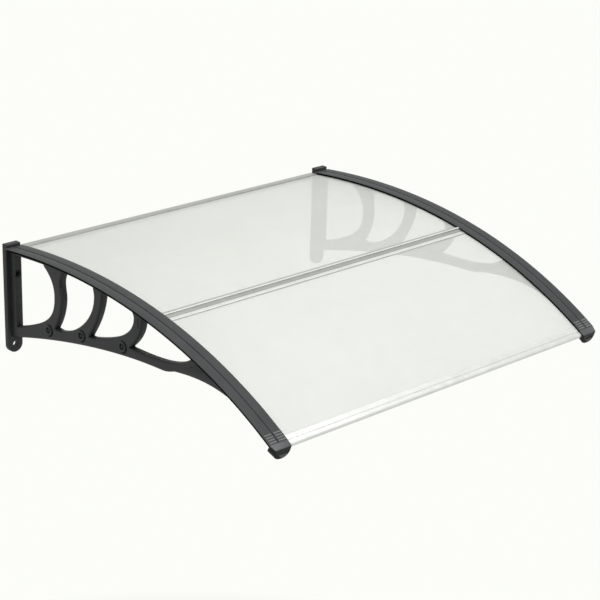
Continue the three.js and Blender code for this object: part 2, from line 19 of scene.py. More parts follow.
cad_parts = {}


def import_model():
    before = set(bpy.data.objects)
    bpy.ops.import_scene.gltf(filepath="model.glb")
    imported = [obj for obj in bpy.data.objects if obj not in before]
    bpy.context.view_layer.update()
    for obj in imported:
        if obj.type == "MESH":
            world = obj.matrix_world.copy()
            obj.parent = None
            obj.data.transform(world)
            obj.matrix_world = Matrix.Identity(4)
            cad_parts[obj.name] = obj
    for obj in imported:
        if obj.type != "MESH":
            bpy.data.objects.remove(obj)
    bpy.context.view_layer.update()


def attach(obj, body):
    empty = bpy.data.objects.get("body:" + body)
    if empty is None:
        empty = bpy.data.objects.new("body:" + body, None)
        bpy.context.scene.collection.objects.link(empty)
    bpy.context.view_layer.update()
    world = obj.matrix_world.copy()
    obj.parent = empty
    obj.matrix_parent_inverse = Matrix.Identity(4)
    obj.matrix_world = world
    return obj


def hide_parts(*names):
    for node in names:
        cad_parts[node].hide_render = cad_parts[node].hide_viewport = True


log = logging.getLogger("canopy")

MM = 0.001
HALF_WIDTH = 500.0
RAIL_WIDTH = 48.0
RAIL_MIDDLE = RAIL_WIDTH / 2
BODY = "root"
WELD = 1e-4
CUT_WELD = 1e-3
ROUGH_SPAN = (0.3, 0.7)

Pair = tuple[float, float]


class Side(Enum):
    """Side of the canopy that a piece stands on, seen from the front."""

    LEFT = "left"
    RIGHT = "right"
    BOTH = "both"


class Slot(Enum):
    """Material slots, by name."""

    BRACKET = "bracket"
    RAIL_COVER = "rail_cover"
    END_CAP = "end_cap"
    PANEL = "panel"
    CROSS_BAR = "cross_bar"
    SEAL = "seal"
    SCREW = "screw"


SIDES = (Side.LEFT, Side.RIGHT)


# Drawing


@dataclass(frozen=True)
class RailCurve:
    """Side line of the rails, in millimetres."""

    length: float = 918.0
    rise_angle: float = 5.8
    radius_at_wall: float = 2130.0
    radius_at_front: float = 1020.0
    top: float = 12.0

    def slope(self, s: float) -> float:
        """Slope below level, in radians, at a distance along the rail.

        Args:
            s: distance along the rail.

        Returns:
            The angle in radians.
        """
        wall, front = 1 / self.radius_at_wall, 1 / self.radius_at_front
        gain = (front - wall) / self.length
        return math.radians(-self.rise_angle) + wall * s + gain * s * s / 2

    def point(self, s: float, n: float) -> Pair:
        """Point at a distance along the rail and a height over its top.

        Args:
            s: distance along the rail.
            n: height over the rail's top, square to it.

        Returns:
            Distance from the wall and height.
        """
        steps = 120
        out, up = 0.0, self.top
        for i in range(steps):
            slope = self.slope((i + 0.5) * s / steps)
            out += math.cos(slope) * s / steps
            up -= math.sin(slope) * s / steps
        slope = self.slope(s)
        return out + n * math.sin(slope), up + n * math.cos(slope)

    def at(self, out: float) -> float:
        """Distance along the rail whose top lies a given distance from the wall.

        Args:
            out: distance from the wall.

        Returns:
            Distance along the rail.
        """
        s = out
        for _ in range(5):
            s += out - self.point(s, 0)[0]
        return s

    def under(self, out: float, n: float) -> Pair:
        """Point below the rail at a distance from the wall.

        Args:
            out: distance from the wall, along the rail's top.
            n: height over the rail's top.

        Returns:
            Distance from the wall and height.
        """
        return self.point(self.at(out), n)

    def place(self, s: float) -> Matrix:
        """Frame at a distance along the rail: X along the wall, Y back along the rail, Z out of it.

        Args:
            s: distance along the rail.

        Returns:
            The frame as a matrix.
        """
        out, up = self.point(s, 0)
        return Matrix.Translation((0, -out, up)) @ Matrix.Rotation(self.slope(s), 4, "X")

    def stations(self, start: float, end: float, step: float) -> list[Matrix]:
        """Frames along a stretch of the rail.

        Args:
            start: where the stretch starts.
            end: where it ends.
            step: longest distance between two frames.

        Returns:
            The frames, evenly spaced.
        """
        count = max(1, math.ceil((end - start) / step))
        return [self.place(start + (end - start) * i / count) for i in range(count + 1)]


RAIL = RailCurve()


def bezier(start: Pair, lead: Pair, follow: Pair, end: Pair, count: int = 12) -> list[Pair]:
    """Points of a curve with two handles.

    Args:
        start: first point.
        lead: handle of the first point.
        follow: handle of the last point.
        end: last point.
        count: number of stretches.

    Returns:
        The points, ends included.
    """
    points = []
    for i in range(count + 1):
        t = i / count
        weights = ((1 - t) ** 3, 3 * t * (1 - t) ** 2, 3 * t * t * (1 - t), t**3)
        knots = (start, lead, follow, end)
        points.append(
            (
                sum(w * k[0] for w, k in zip(weights, knots)),
                sum(w * k[1] for w, k in zip(weights, knots)),
            )
        )
    return points


def draw_loop(bm: BMesh, points: Sequence[Vector]) -> BMFace:
    """Draws a closed outline by extruding one vertex from point to point, and fills it.

    Args:
        bm: mesh to draw in.
        points: corners in order.

    Returns:
        The filled face.
    """
    first = bm.verts.new(points[0])
    last, edges = first, []
    for point in points[1:]:
        made = bmesh.ops.extrude_vert_indiv(bm, verts=[last])
        last = made["verts"][0]
        last.co = point
        edges += made["edges"]
    edges.append(bm.edges.new((last, first)))
    return bmesh.ops.contextual_create(bm, geom=edges)["faces"][0]


def side_face(bm: BMesh, outline: Sequence[Pair], x: float = 0.0) -> BMFace:
    """Draws a side outline as a face.

    Args:
        bm: mesh to draw in.
        outline: corners as distance from the wall and height.
        x: where the face stands.

    Returns:
        The face.
    """
    return draw_loop(bm, [Vector((x, -out, up)) for out, up in outline])


def bevel(
    bm: BMesh, geom: Sequence, radius: float, segments: int = 3, affect: str = "EDGES"
) -> None:
    """Rounds edges or corners.

    Args:
        bm: mesh that holds them.
        geom: the edges or vertices.
        radius: radius of the rounding.
        segments: facets of each.
        affect: EDGES or VERTICES.
    """
    bmesh.ops.bevel(
        bm, geom=geom, offset=radius, offset_type="OFFSET", segments=segments, profile=0.5,
        affect=affect, clamp_overlap=True, material=-1,
    )


def round_corners(bm: BMesh, corners: dict[float, list[BMVert]], segments: int = 4) -> None:
    """Rounds corners of flat faces.

    Args:
        bm: mesh that holds the corners.
        corners: vertices under the radius that each gets.
        segments: facets of each corner.
    """
    for radius, verts in corners.items():
        if radius > 0:
            bevel(bm, verts, radius, segments, "VERTICES")


def rounded_face(
    bm: BMesh, corners: Sequence[tuple[Vector, float]], segments: int = 4
) -> BMFace:
    """Draws a flat face whose corners have a radius each.

    Args:
        bm: mesh to draw in.
        corners: place and radius of each corner.
        segments: facets of each corner.

    Returns:
        The face.
    """
    sheet = bmesh.new()
    face = draw_loop(sheet, [place for place, _ in corners])
    verts = sorted(face.verts, key=lambda v: v.index)
    wanted: dict[float, list[BMVert]] = {}
    for place, radius in corners:
        vert = min(verts, key=lambda v: (v.co - place).length)
        wanted.setdefault(radius, []).append(vert)
    round_corners(sheet, wanted, segments)
    before = set(bm.faces)
    pour(bm, sheet)
    return next(f for f in bm.faces if f not in before)


def extrude_through(bm: BMesh, face: BMFace, moves: Sequence[Matrix]) -> BMFace:
    """Extrudes a face through a row of moves.

    Args:
        bm: mesh that holds the face.
        face: the face.
        moves: move of each step.

    Returns:
        The last face.
    """
    for move in moves:
        made = bmesh.ops.extrude_face_region(bm, geom=[face])["geom"]
        verts = [e for e in made if isinstance(e, BMVert)]
        bmesh.ops.transform(bm, matrix=move, verts=verts)
        face = next(e for e in made if isinstance(e, BMFace))
    return face


def sweep(
    bm: BMesh,
    section: Sequence[tuple[float, float, float]],
    places: Sequence[Matrix],
    segments: int = 4,
) -> None:
    """Draws a section with rounded corners and extrudes it along the rail.

    Args:
        bm: mesh to draw in.
        section: x, height over the rail's top and radius of each corner.
        places: frames to pass through.
        segments: facets of each rounded corner.
    """
    corners = [(places[0] @ Vector((x, 0, n)), radius) for x, n, radius in section]
    face = rounded_face(bm, corners, segments)
    moves = [after @ before.inverted() for before, after in zip(places, places[1:])]
    extrude_through(bm, face, moves)


def across(
    bm: BMesh, outline: Sequence[tuple[Pair, float]], x0: float, x1: float, segments: int = 4
) -> None:
    """Extrudes a side outline with rounded corners along the wall.

    Args:
        bm: mesh to draw in.
        outline: corner and radius in order.
        x0: start along the wall.
        x1: end along the wall.
        segments: facets of each rounded corner.
    """
    corners = [(Vector((x0, -out, up)), radius) for (out, up), radius in outline]
    face = rounded_face(bm, corners, segments)
    extrude_through(bm, face, [Matrix.Translation((x1 - x0, 0, 0))])


def turned(bm: BMesh, profile: Sequence[Pair], place: Matrix, steps: int = 40) -> None:
    """Spins a profile about the Z axis of a place.

    Args:
        bm: mesh to draw in.
        profile: radius and height of each point, from one pole to the other.
        place: frame to spin in.
        steps: number of facets round.
    """
    lathe = bmesh.new()
    first = lathe.verts.new((profile[0][0], 0, profile[0][1]))
    geom: list = [first]
    last = first
    for radius, height in profile[1:]:
        made = bmesh.ops.extrude_vert_indiv(lathe, verts=[last])
        last = made["verts"][0]
        last.co = (radius, 0, height)
        geom += made["verts"] + made["edges"]
    bmesh.ops.spin(
        lathe,
        geom=geom,
        cent=(0, 0, 0),
        axis=(0, 0, 1),
        angle=math.tau,
        steps=steps,
        use_merge=True,
    )
    bmesh.ops.remove_doubles(lathe, verts=lathe.verts, dist=WELD)
    bmesh.ops.recalc_face_normals(lathe, faces=lathe.faces)
    bmesh.ops.transform(lathe, matrix=place, verts=lathe.verts)
    pour(bm, lathe)


def rounded_block(bm: BMesh, size: Vector, place: Matrix, radius: float, segments: int = 3) -> None:
    """Draws a block with rounded edges.

    Args:
        bm: mesh to draw in.
        size: its size.
        place: frame of its middle.
        radius: radius of its edges.
        segments: facets of each edge.
    """
    block = bmesh.new()
    bmesh.ops.create_cube(block, size=1.0)
    bmesh.ops.scale(block, vec=size, verts=block.verts)
    bevel(block, list(block.edges), radius, segments)
    bmesh.ops.transform(block, matrix=place, verts=block.verts)
    pour(bm, block)


def pour(bm: BMesh, part: BMesh) -> None:
    """Adds a mesh to another one and frees it.

    Args:
        bm: mesh that takes it.
        part: mesh to add.
    """
    mesh = bpy.data.meshes.new("part")
    part.to_mesh(mesh)
    part.free()
    bm.from_mesh(mesh)
    bpy.data.meshes.remove(mesh)


def stand(name: str, data: bpy.types.ID) -> bpy.types.Object:
    """Adds an object to the scene.

    Args:
        name: its name.
        data: its mesh, lamp or camera.

    Returns:
        The object, at the origin.
    """
    thing = bpy.data.objects.new(name, data)
    bpy.context.scene.collection.objects.link(thing)
    return thing


def mesh_object(name: str, bm: BMesh) -> bpy.types.Object:
    """Turns a mesh into an object.

    Args:
        name: name of the object.
        bm: the mesh, which is freed.

    Returns:
        The object, at the origin.
    """
    mesh = bpy.data.meshes.new(name)
    bm.to_mesh(mesh)
    bm.free()
    return stand(name, mesh)


def finish_piece(
    name: str,
    bm: BMesh,
    side: Side,
    material: bpy.types.Material,
    nodes: Sequence[str],
    sharp_angle: float = 32.0,
    further: Sequence[bpy.types.Material] = (),
) -> bpy.types.Object:
    """Puts a drawn mesh in its place and makes it a piece of the canopy.

    Args:
        name: name of the piece.
        bm: mesh drawn on the left side, in millimetres.
        side: side that the piece stands on.
        material: finish of the piece.
        nodes: names of the solids that it stands for.
        sharp_angle: edges over this angle stay sharp, in degrees.
        further: finishes of the faces that are marked with 1, 2 and so on.

    Returns:
        The piece.
    """
    bmesh.ops.recalc_face_normals(bm, faces=bm.faces)
    bmesh.ops.translate(bm, vec=(-HALF_WIDTH, 0, 0), verts=bm.verts)
    if side is Side.RIGHT:
        bmesh.ops.scale(bm, vec=(-1, 1, 1), verts=bm.verts)
        bmesh.ops.reverse_faces(bm, faces=bm.faces)
    open_edges = sum(1 for e in bm.edges if not e.is_manifold)
    bmesh.ops.scale(bm, vec=(MM, MM, MM), verts=bm.verts)
    piece = mesh_object(name, bm)
    piece.data.shade_smooth()
    piece.data.set_sharp_from_angle(angle=math.radians(sharp_angle))
    for finish in (material, *further):
        piece.data.materials.append(finish)
    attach(piece, BODY)
    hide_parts(*nodes)
    log.info("%s: %d faces, %d open edges", name, len(piece.data.polygons), open_edges)
    return piece


# Finishes


@dataclass
class NodeSheet:
    """A node tree with short ways to add and join nodes."""

    tree: bpy.types.NodeTree

    def add(self, kind: str, **settings: object) -> bpy.types.Node:
        """Adds a node.

        Args:
            kind: Blender's name of the node type.
            settings: properties of the node.

        Returns:
            The node.
        """
        node = self.tree.nodes.new(kind)
        for name, value in settings.items():
            setattr(node, name, value)
        return node

    def join(self, source: bpy.types.NodeSocket, target: bpy.types.NodeSocket) -> None:
        """Joins an output to an input."""
        self.tree.links.new(source, target)

    def feed(self, node: bpy.types.Node, name: str | int, value: object) -> None:
        """Sets an input, or joins it where the value is a socket.

        Args:
            node: node that has the input.
            name: the input.
            value: number, colour, vector or socket.
        """
        if isinstance(value, bpy.types.NodeSocket):
            self.join(value, node.inputs[name])
        else:
            node.inputs[name].default_value = value

    def noise(
        self, vector: bpy.types.NodeSocket, scale: object, detail: float = 4.0, rough: float = 0.5
    ) -> bpy.types.NodeSocket:
        """Adds a noise texture.

        Args:
            vector: coordinates.
            scale: scale, a number or a socket.
            detail: number of octaves.
            rough: weight of the finer octaves.

        Returns:
            The noise between 0 and 1.
        """
        node = self.add("ShaderNodeTexNoise")
        self.join(vector, node.inputs["Vector"])
        self.feed(node, "Scale", scale)
        self.feed(node, "Detail", detail)
        self.feed(node, "Roughness", rough)
        return node.outputs["Fac"]

    def math(self, kind: str, first: object, second: object = 0.0) -> bpy.types.NodeSocket:
        """Adds a math node.

        Args:
            kind: its operation.
            first: first value or socket.
            second: second value or socket.

        Returns:
            The result.
        """
        node = self.add("ShaderNodeMath", operation=kind)
        self.feed(node, 0, first)
        self.feed(node, 1, second)
        return node.outputs[0]

    def spread(
        self, value: object, low: float, high: float, to_low: object, to_high: object
    ) -> bpy.types.NodeSocket:
        """Maps one range to another, held at its ends.

        Args:
            value: value or socket.
            low: start of the range.
            high: end of the range.
            to_low: result at its start.
            to_high: result at its end.

        Returns:
            The result.
        """
        node = self.add("ShaderNodeMapRange", clamp=True)
        self.feed(node, "Value", value)
        self.feed(node, "From Min", low)
        self.feed(node, "From Max", high)
        self.feed(node, "To Min", to_low)
        self.feed(node, "To Max", to_high)
        return node.outputs["Result"]

    def blend(self, factor: object, first: object, second: object) -> bpy.types.NodeSocket:
        """Mixes two colours.

        Args:
            factor: share of the second.
            first: first colour or socket.
            second: second colour or socket.

        Returns:
            The mixed colour.
        """
        node = self.add("ShaderNodeMix", data_type="RGBA")
        self.feed(node, 0, factor)
        self.feed(node, 6, first)
        self.feed(node, 7, second)
        return node.outputs[2]


class SurfaceEffects:
    """Node groups that several finishes share, each made once, when it is first needed."""

    def group(
        self, name: str, settings: dict[str, float], results: Sequence[str]
    ) -> tuple[bpy.types.NodeTree, NodeSheet, Sequence, Sequence]:
        """Starts a node group that takes coordinates and plain settings.

        Args:
            name: its name.
            settings: name and default of each setting.
            results: names of the values that it puts out.

        Returns:
            The group, a sheet to draw it with, the given sockets and the result sockets.
        """
        tree = bpy.data.node_groups.new(name, "ShaderNodeTree")
        tree.interface.new_socket("Vector", in_out="INPUT", socket_type="NodeSocketVector")
        for label, default in settings.items():
            socket = tree.interface.new_socket(
                label, in_out="INPUT", socket_type="NodeSocketFloat"
            )
            socket.default_value = default
        for label in results:
            tree.interface.new_socket(label, in_out="OUTPUT", socket_type="NodeSocketFloat")
        sheet = NodeSheet(tree)
        given, result = sheet.add("NodeGroupInput"), sheet.add("NodeGroupOutput")
        return tree, sheet, given.outputs, result.inputs

    @cached_property
    def moulded_grain(self) -> bpy.types.NodeTree:
        """Fine grain of a moulded surface, with slow waves of sink and flow under it.

        Returns:
            The group, which puts out a height and a mask of the grain.
        """
        settings = {"Grain Scale": 2200, "Wave Scale": 22, "Wave Share": 0.5}
        tree, sheet, given, result = self.group("moulded_grain", settings, ["Height", "Tone"])
        grain = sheet.noise(given["Vector"], given["Grain Scale"], 3.0, 0.6)
        waves = sheet.noise(given["Vector"], given["Wave Scale"], 2.0, 0.5)
        waved = sheet.math("MULTIPLY", waves, given["Wave Share"])
        sheet.join(sheet.math("ADD", grain, waved), result["Height"])
        sheet.join(sheet.math("MULTIPLY", sheet.math("ADD", grain, waves), 0.5), result["Tone"])
        return tree

    @cached_property
    def settled_dust(self) -> bpy.types.NodeTree:
        """Thin dust that lies on the faces that look up.

        Returns:
            The group, which puts out a mask.
        """
        tree, sheet, given, result = self.group("settled_dust", {"Amount": 0.2}, ["Mask"])
        facing = sheet.add("ShaderNodeSeparateXYZ")
        sheet.join(sheet.add("ShaderNodeNewGeometry").outputs["Normal"], facing.inputs[0])
        upward = sheet.spread(facing.outputs["Z"], 0.35, 1.0, 0.0, 1.0)
        patches = sheet.noise(given["Vector"], 34.0, 5.0, 0.62)
        patchy = sheet.spread(patches, 0.38, 0.72, 0.25, 1.0)
        mask = sheet.math("MULTIPLY", upward, patchy)
        sheet.join(sheet.math("MULTIPLY", mask, given["Amount"]), result["Mask"])
        return tree

    @cached_property
    def worn_edges(self) -> bpy.types.NodeTree:
        """Edges rubbed a little paler, found from the surface's pointiness.

        Returns:
            The group, which puts out a mask.
        """
        tree, sheet, given, result = self.group("worn_edges", {"Amount": 0.3}, ["Mask"])
        points = sheet.add("ShaderNodeNewGeometry").outputs["Pointiness"]
        edge = sheet.spread(points, 0.51, 0.58, 0.0, 1.0)
        chips = sheet.noise(given["Vector"], 260.0, 4.0, 0.6)
        mask = sheet.math("MULTIPLY", edge, sheet.spread(chips, 0.35, 0.65, 0.3, 1.0))
        sheet.join(sheet.math("MULTIPLY", mask, given["Amount"]), result["Mask"])
        return tree

    @cached_property
    def drawn_lines(self) -> bpy.types.NodeTree:
        """Fine lines that a die leaves along an extruded bar.

        Returns:
            The group, which puts out a height and a tone.
        """
        settings = {"Line Scale": 900}
        tree, sheet, given, result = self.group("drawn_lines", settings, ["Height", "Tone"])
        stretch = sheet.add("ShaderNodeMapping")
        sheet.join(given["Vector"], stretch.inputs["Vector"])
        stretch.inputs["Scale"].default_value = (0.012, 1.0, 1.0)
        lines = sheet.noise(stretch.outputs[0], given["Line Scale"], 3.0, 0.6)
        bloom = sheet.noise(given["Vector"], 40.0, 3.0, 0.55)
        sheet.join(lines, result["Height"])
        sheet.join(sheet.math("MULTIPLY", sheet.math("ADD", lines, bloom), 0.5), result["Tone"])
        return tree


@dataclass
class Finish:
    """A material with its principled shader at hand."""

    name: str
    material: bpy.types.Material = field(init=False)
    sheet: NodeSheet = field(init=False)
    shader: bpy.types.Node = field(init=False)
    place: bpy.types.NodeSocket = field(init=False)

    def __post_init__(self) -> None:
        """Makes the material and its coordinates."""
        self.material = bpy.data.materials.new(self.name)
        self.material.use_nodes = True
        self.sheet = NodeSheet(self.material.node_tree)
        self.shader = self.material.node_tree.nodes["Principled BSDF"]
        self.place = self.sheet.add("ShaderNodeTexCoord").outputs["Object"]

    def effect(self, tree: bpy.types.NodeTree, **values: float) -> bpy.types.Node:
        """Adds a shared effect at the piece's own coordinates.

        Args:
            tree: the effect's node group.
            values: its settings, with low lines in place of spaces.

        Returns:
            The group's node.
        """
        node = self.sheet.add("ShaderNodeGroup")
        node.node_tree = tree
        self.sheet.join(self.place, node.inputs["Vector"])
        for label, value in values.items():
            node.inputs[label.replace("_", " ").title()].default_value = value
        return node

    def toned(
        self, tone: bpy.types.NodeSocket, low: float, high: float, first: object, second: object
    ) -> bpy.types.NodeSocket:
        """Blends two colours by a tone.

        Args:
            tone: the tone.
            low: tone that gives the first colour.
            high: tone that gives the second colour.
            first: first colour.
            second: second colour.

        Returns:
            The colour.
        """
        return self.sheet.blend(self.sheet.spread(tone, low, high, 0.0, 1.0), first, second)

    def roughen(self, tone: bpy.types.NodeSocket, smooth: float, rough: float) -> None:
        """Lets the roughness follow a tone.

        Args:
            tone: the tone.
            smooth: roughness at its low end.
            rough: roughness at its high end.
        """
        self.sheet.feed(
            self.shader, "Roughness", self.sheet.spread(tone, *ROUGH_SPAN, smooth, rough)
        )

    def bump(self, height: bpy.types.NodeSocket, strength: float, distance: float) -> None:
        """Gives the surface a relief.

        Args:
            height: the relief.
            strength: how much of it shows.
            distance: its depth in metres.
        """
        node = self.sheet.add("ShaderNodeBump")
        node.inputs["Strength"].default_value = strength
        node.inputs["Distance"].default_value = distance
        self.sheet.join(height, node.inputs["Height"])
        self.sheet.join(node.outputs["Normal"], self.shader.inputs["Normal"])


def colour(red: float, green: float, blue: float) -> tuple[float, float, float, float]:
    """Turns screen values from 0 to 255 into a linear colour.

    Args:
        red: red value.
        green: green value.
        blue: blue value.

    Returns:
        The linear colour.
    """
    linear = []
    for value in (red, green, blue):
        share = value / 255
        linear.append(share / 12.92 if share <= 0.04045 else ((share + 0.055) / 1.055) ** 2.4)
    return (*linear, 1.0)


@dataclass(frozen=True)
class MouldedPlastic:
    """Dark moulded plastic with a fine grain, dust on top and rubbed edges."""

    name: str
    base: tuple[float, float, float]
    pale: tuple[float, float, float]
    roughness: float = 0.5
    sheen: float = 0.25
    grain_depth: float = 0.00006
    dust: float = 0.2
    wear: float = 0.25

    def make(self, effects: SurfaceEffects) -> bpy.types.Material:
        """Makes the material.

        Args:
            effects: the shared effects.

        Returns:
            The material.
        """
        finish = Finish(self.name)
        sheet, shader = finish.sheet, finish.shader
        grain = finish.effect(effects.moulded_grain, grain_scale=1900.0, wave_scale=17.0)
        dust = finish.effect(effects.settled_dust, amount=self.dust)
        wear = finish.effect(effects.worn_edges, amount=self.wear)
        dark, light = (
            tuple(gain * c for c in colour(*self.base)[:3]) + (1.0,) for gain in (0.86, 1.14)
        )
        body = finish.toned(grain.outputs["Tone"], 0.36, 0.64, dark, light)
        rubbed = sheet.math("MAXIMUM", dust.outputs["Mask"], wear.outputs["Mask"])
        sheet.feed(shader, "Base Color", sheet.blend(rubbed, body, colour(*self.pale)))
        finish.roughen(grain.outputs["Tone"], self.roughness - 0.06, self.roughness + 0.07)
        sheet.feed(shader, "Specular IOR Level", self.sheen)
        finish.bump(grain.outputs["Height"], 0.55, self.grain_depth)
        return finish.material


@dataclass(frozen=True)
class SatinAluminium:
    """Anodised extrusion with fine lines along its length."""

    name: str = "satin_aluminium"
    dark: tuple[float, float, float] = (160, 161, 159)
    light: tuple[float, float, float] = (176, 177, 175)

    def make(self, effects: SurfaceEffects) -> bpy.types.Material:
        """Makes the material.

        Args:
            effects: the shared effects.

        Returns:
            The material.
        """
        finish = Finish(self.name)
        sheet, shader = finish.sheet, finish.shader
        lines = finish.effect(effects.drawn_lines, line_scale=900.0)
        dust = finish.effect(effects.settled_dust, amount=0.16)
        shades = (colour(*self.dark), colour(*self.light))
        metal = finish.toned(lines.outputs["Tone"], 0.34, 0.66, *shades)
        dusty = sheet.blend(dust.outputs["Mask"], metal, colour(170, 169, 166))
        sheet.feed(shader, "Base Color", dusty)
        sheet.feed(shader, "Metallic", 0.55)
        finish.roughen(lines.outputs["Tone"], 0.3, 0.44)
        finish.bump(lines.outputs["Height"], 0.25, 0.00003)
        return finish.material


@dataclass(frozen=True)
class HazyPolycarbonate:
    """Clear sheet with a milky haze, faint waves and a little dust."""

    name: str = "hazy_polycarbonate"
    haze: float = 0.5

    def make(self, effects: SurfaceEffects) -> bpy.types.Material:
        """Makes the material.

        Args:
            effects: the shared effects.

        Returns:
            The material.
        """
        finish = Finish(self.name)
        sheet, shader = finish.sheet, finish.shader
        waves = finish.effect(
            effects.moulded_grain, grain_scale=24.0, wave_scale=5.0, wave_share=3.0
        )
        dust = finish.effect(effects.settled_dust, amount=0.05)
        shades = (colour(238, 239, 236), colour(242, 243, 240))
        clear = finish.toned(waves.outputs["Tone"], 0.35, 0.65, *shades)
        dusty = sheet.blend(dust.outputs["Mask"], clear, colour(226, 225, 220))
        sheet.feed(shader, "Base Color", dusty)
        finish.roughen(waves.outputs["Tone"], 0.34, 0.44)
        sheet.feed(shader, "Alpha", self.haze)
        sheet.feed(shader, "IOR", 1.58)
        sheet.feed(shader, "Specular IOR Level", 0.2)
        finish.bump(waves.outputs["Height"], 0.05, 0.0004)
        return finish.material


@dataclass(frozen=True)
class SealRubber:
    """Matte black rubber with a fine grain."""

    name: str = "seal_rubber"

    def make(self, effects: SurfaceEffects) -> bpy.types.Material:
        """Makes the material.

        Args:
            effects: the shared effects.

        Returns:
            The material.
        """
        finish = Finish(self.name)
        sheet, shader = finish.sheet, finish.shader
        grain = finish.effect(effects.moulded_grain, grain_scale=1400.0, wave_scale=60.0)
        shades = (colour(28, 28, 29), colour(44, 44, 45))
        sheet.feed(
            shader, "Base Color", finish.toned(grain.outputs["Tone"], 0.35, 0.65, *shades)
        )
        sheet.feed(shader, "Roughness", 0.78)
        finish.bump(grain.outputs["Height"], 0.5, 0.0001)
        return finish.material


@dataclass(frozen=True)
class ScrewSteel:
    """Plain bright steel, turned, with faint marks."""

    name: str = "screw_steel"

    def make(self, effects: SurfaceEffects) -> bpy.types.Material:
        """Makes the material.

        Args:
            effects: the shared effects.

        Returns:
            The material.
        """
        finish = Finish(self.name)
        sheet, shader = finish.sheet, finish.shader
        marks = finish.effect(effects.moulded_grain, grain_scale=900.0, wave_scale=300.0)
        shades = (colour(176, 178, 181), colour(204, 206, 208))
        sheet.feed(
            shader, "Base Color", finish.toned(marks.outputs["Tone"], 0.35, 0.65, *shades)
        )
        sheet.feed(shader, "Metallic", 1.0)
        finish.roughen(marks.outputs["Tone"], 0.28, 0.42)
        finish.bump(marks.outputs["Height"], 0.3, 0.00003)
        return finish.material


@dataclass
class FinishSet:
    """All finishes of the canopy."""

    bracket: bpy.types.Material
    rail_cover: bpy.types.Material
    recess: bpy.types.Material
    grip: bpy.types.Material
    end_cap: bpy.types.Material
    cap_face: bpy.types.Material
    panel: bpy.types.Material
    bar: bpy.types.Material
    front_bar: bpy.types.Material
    seal: bpy.types.Material
    screw: bpy.types.Material

    @classmethod
    def make(cls) -> "FinishSet":
        """Makes every finish.

        Returns:
            The set.
        """
        effects = SurfaceEffects()
        return cls(
            bracket=MouldedPlastic(
                "bracket_plastic", (43, 44, 46), (92, 93, 94), roughness=0.44, dust=0.06, wear=0.05
            ).make(effects),
            rail_cover=MouldedPlastic(
                "rail_cover_plastic", (62, 63, 65), (118, 118, 118), roughness=0.55, sheen=0.2,
                dust=0.08, wear=0.35,
            ).make(effects),
            # near-black copy of the cover plastic for its side recesses: painted shade
            recess=MouldedPlastic(
                "painted_shade_recess_plastic", (14, 14, 15), (30, 30, 31), roughness=0.7, sheen=0.05,
                dust=0.0, wear=0.0,
            ).make(effects),
            # paler copy of the cover plastic for the grip ribs: painted highlight
            grip=MouldedPlastic(
                "painted_highlight_grip_plastic", (112, 113, 115), (150, 150, 150), roughness=0.5, dust=0.1,
            ).make(effects),
            end_cap=MouldedPlastic(
                "end_cap_plastic", (66, 68, 71), (128, 130, 132), roughness=0.3, sheen=0.4,
                grain_depth=0.00003, dust=0.05, wear=0.3,
            ).make(effects),
            # darker copy of the cap plastic for faces that do not look up: painted dark reflection
            cap_face=MouldedPlastic(
                "cap_face_plastic", (24, 24, 26), (60, 61, 62), roughness=0.35, sheen=0.15,
                grain_depth=0.00003, dust=0.0, wear=0.2,
            ).make(effects),
            panel=HazyPolycarbonate().make(effects),
            bar=SatinAluminium().make(effects),
            # paler copy of the satin aluminium: painted highlight on the front bar and the middle bar's
            # bead
            front_bar=SatinAluminium(
                "painted_highlight_aluminium", dark=(216, 217, 215), light=(230, 231, 229)
            ).make(effects),
            seal=SealRubber().make(effects),
            screw=ScrewSteel().make(effects),
        )


# Sub-assemblies


@dataclass(frozen=True)
class Strut:
    """One curved strut of a bracket, with the window edges on both of its sides.

    The wall side runs from the arm up to the rail, and so does the front side.
    """

    wall_side: tuple[tuple[Pair, Pair, Pair, Pair], ...]
    front_side: tuple[tuple[Pair, Pair, Pair, Pair], ...]
    boss: Pair


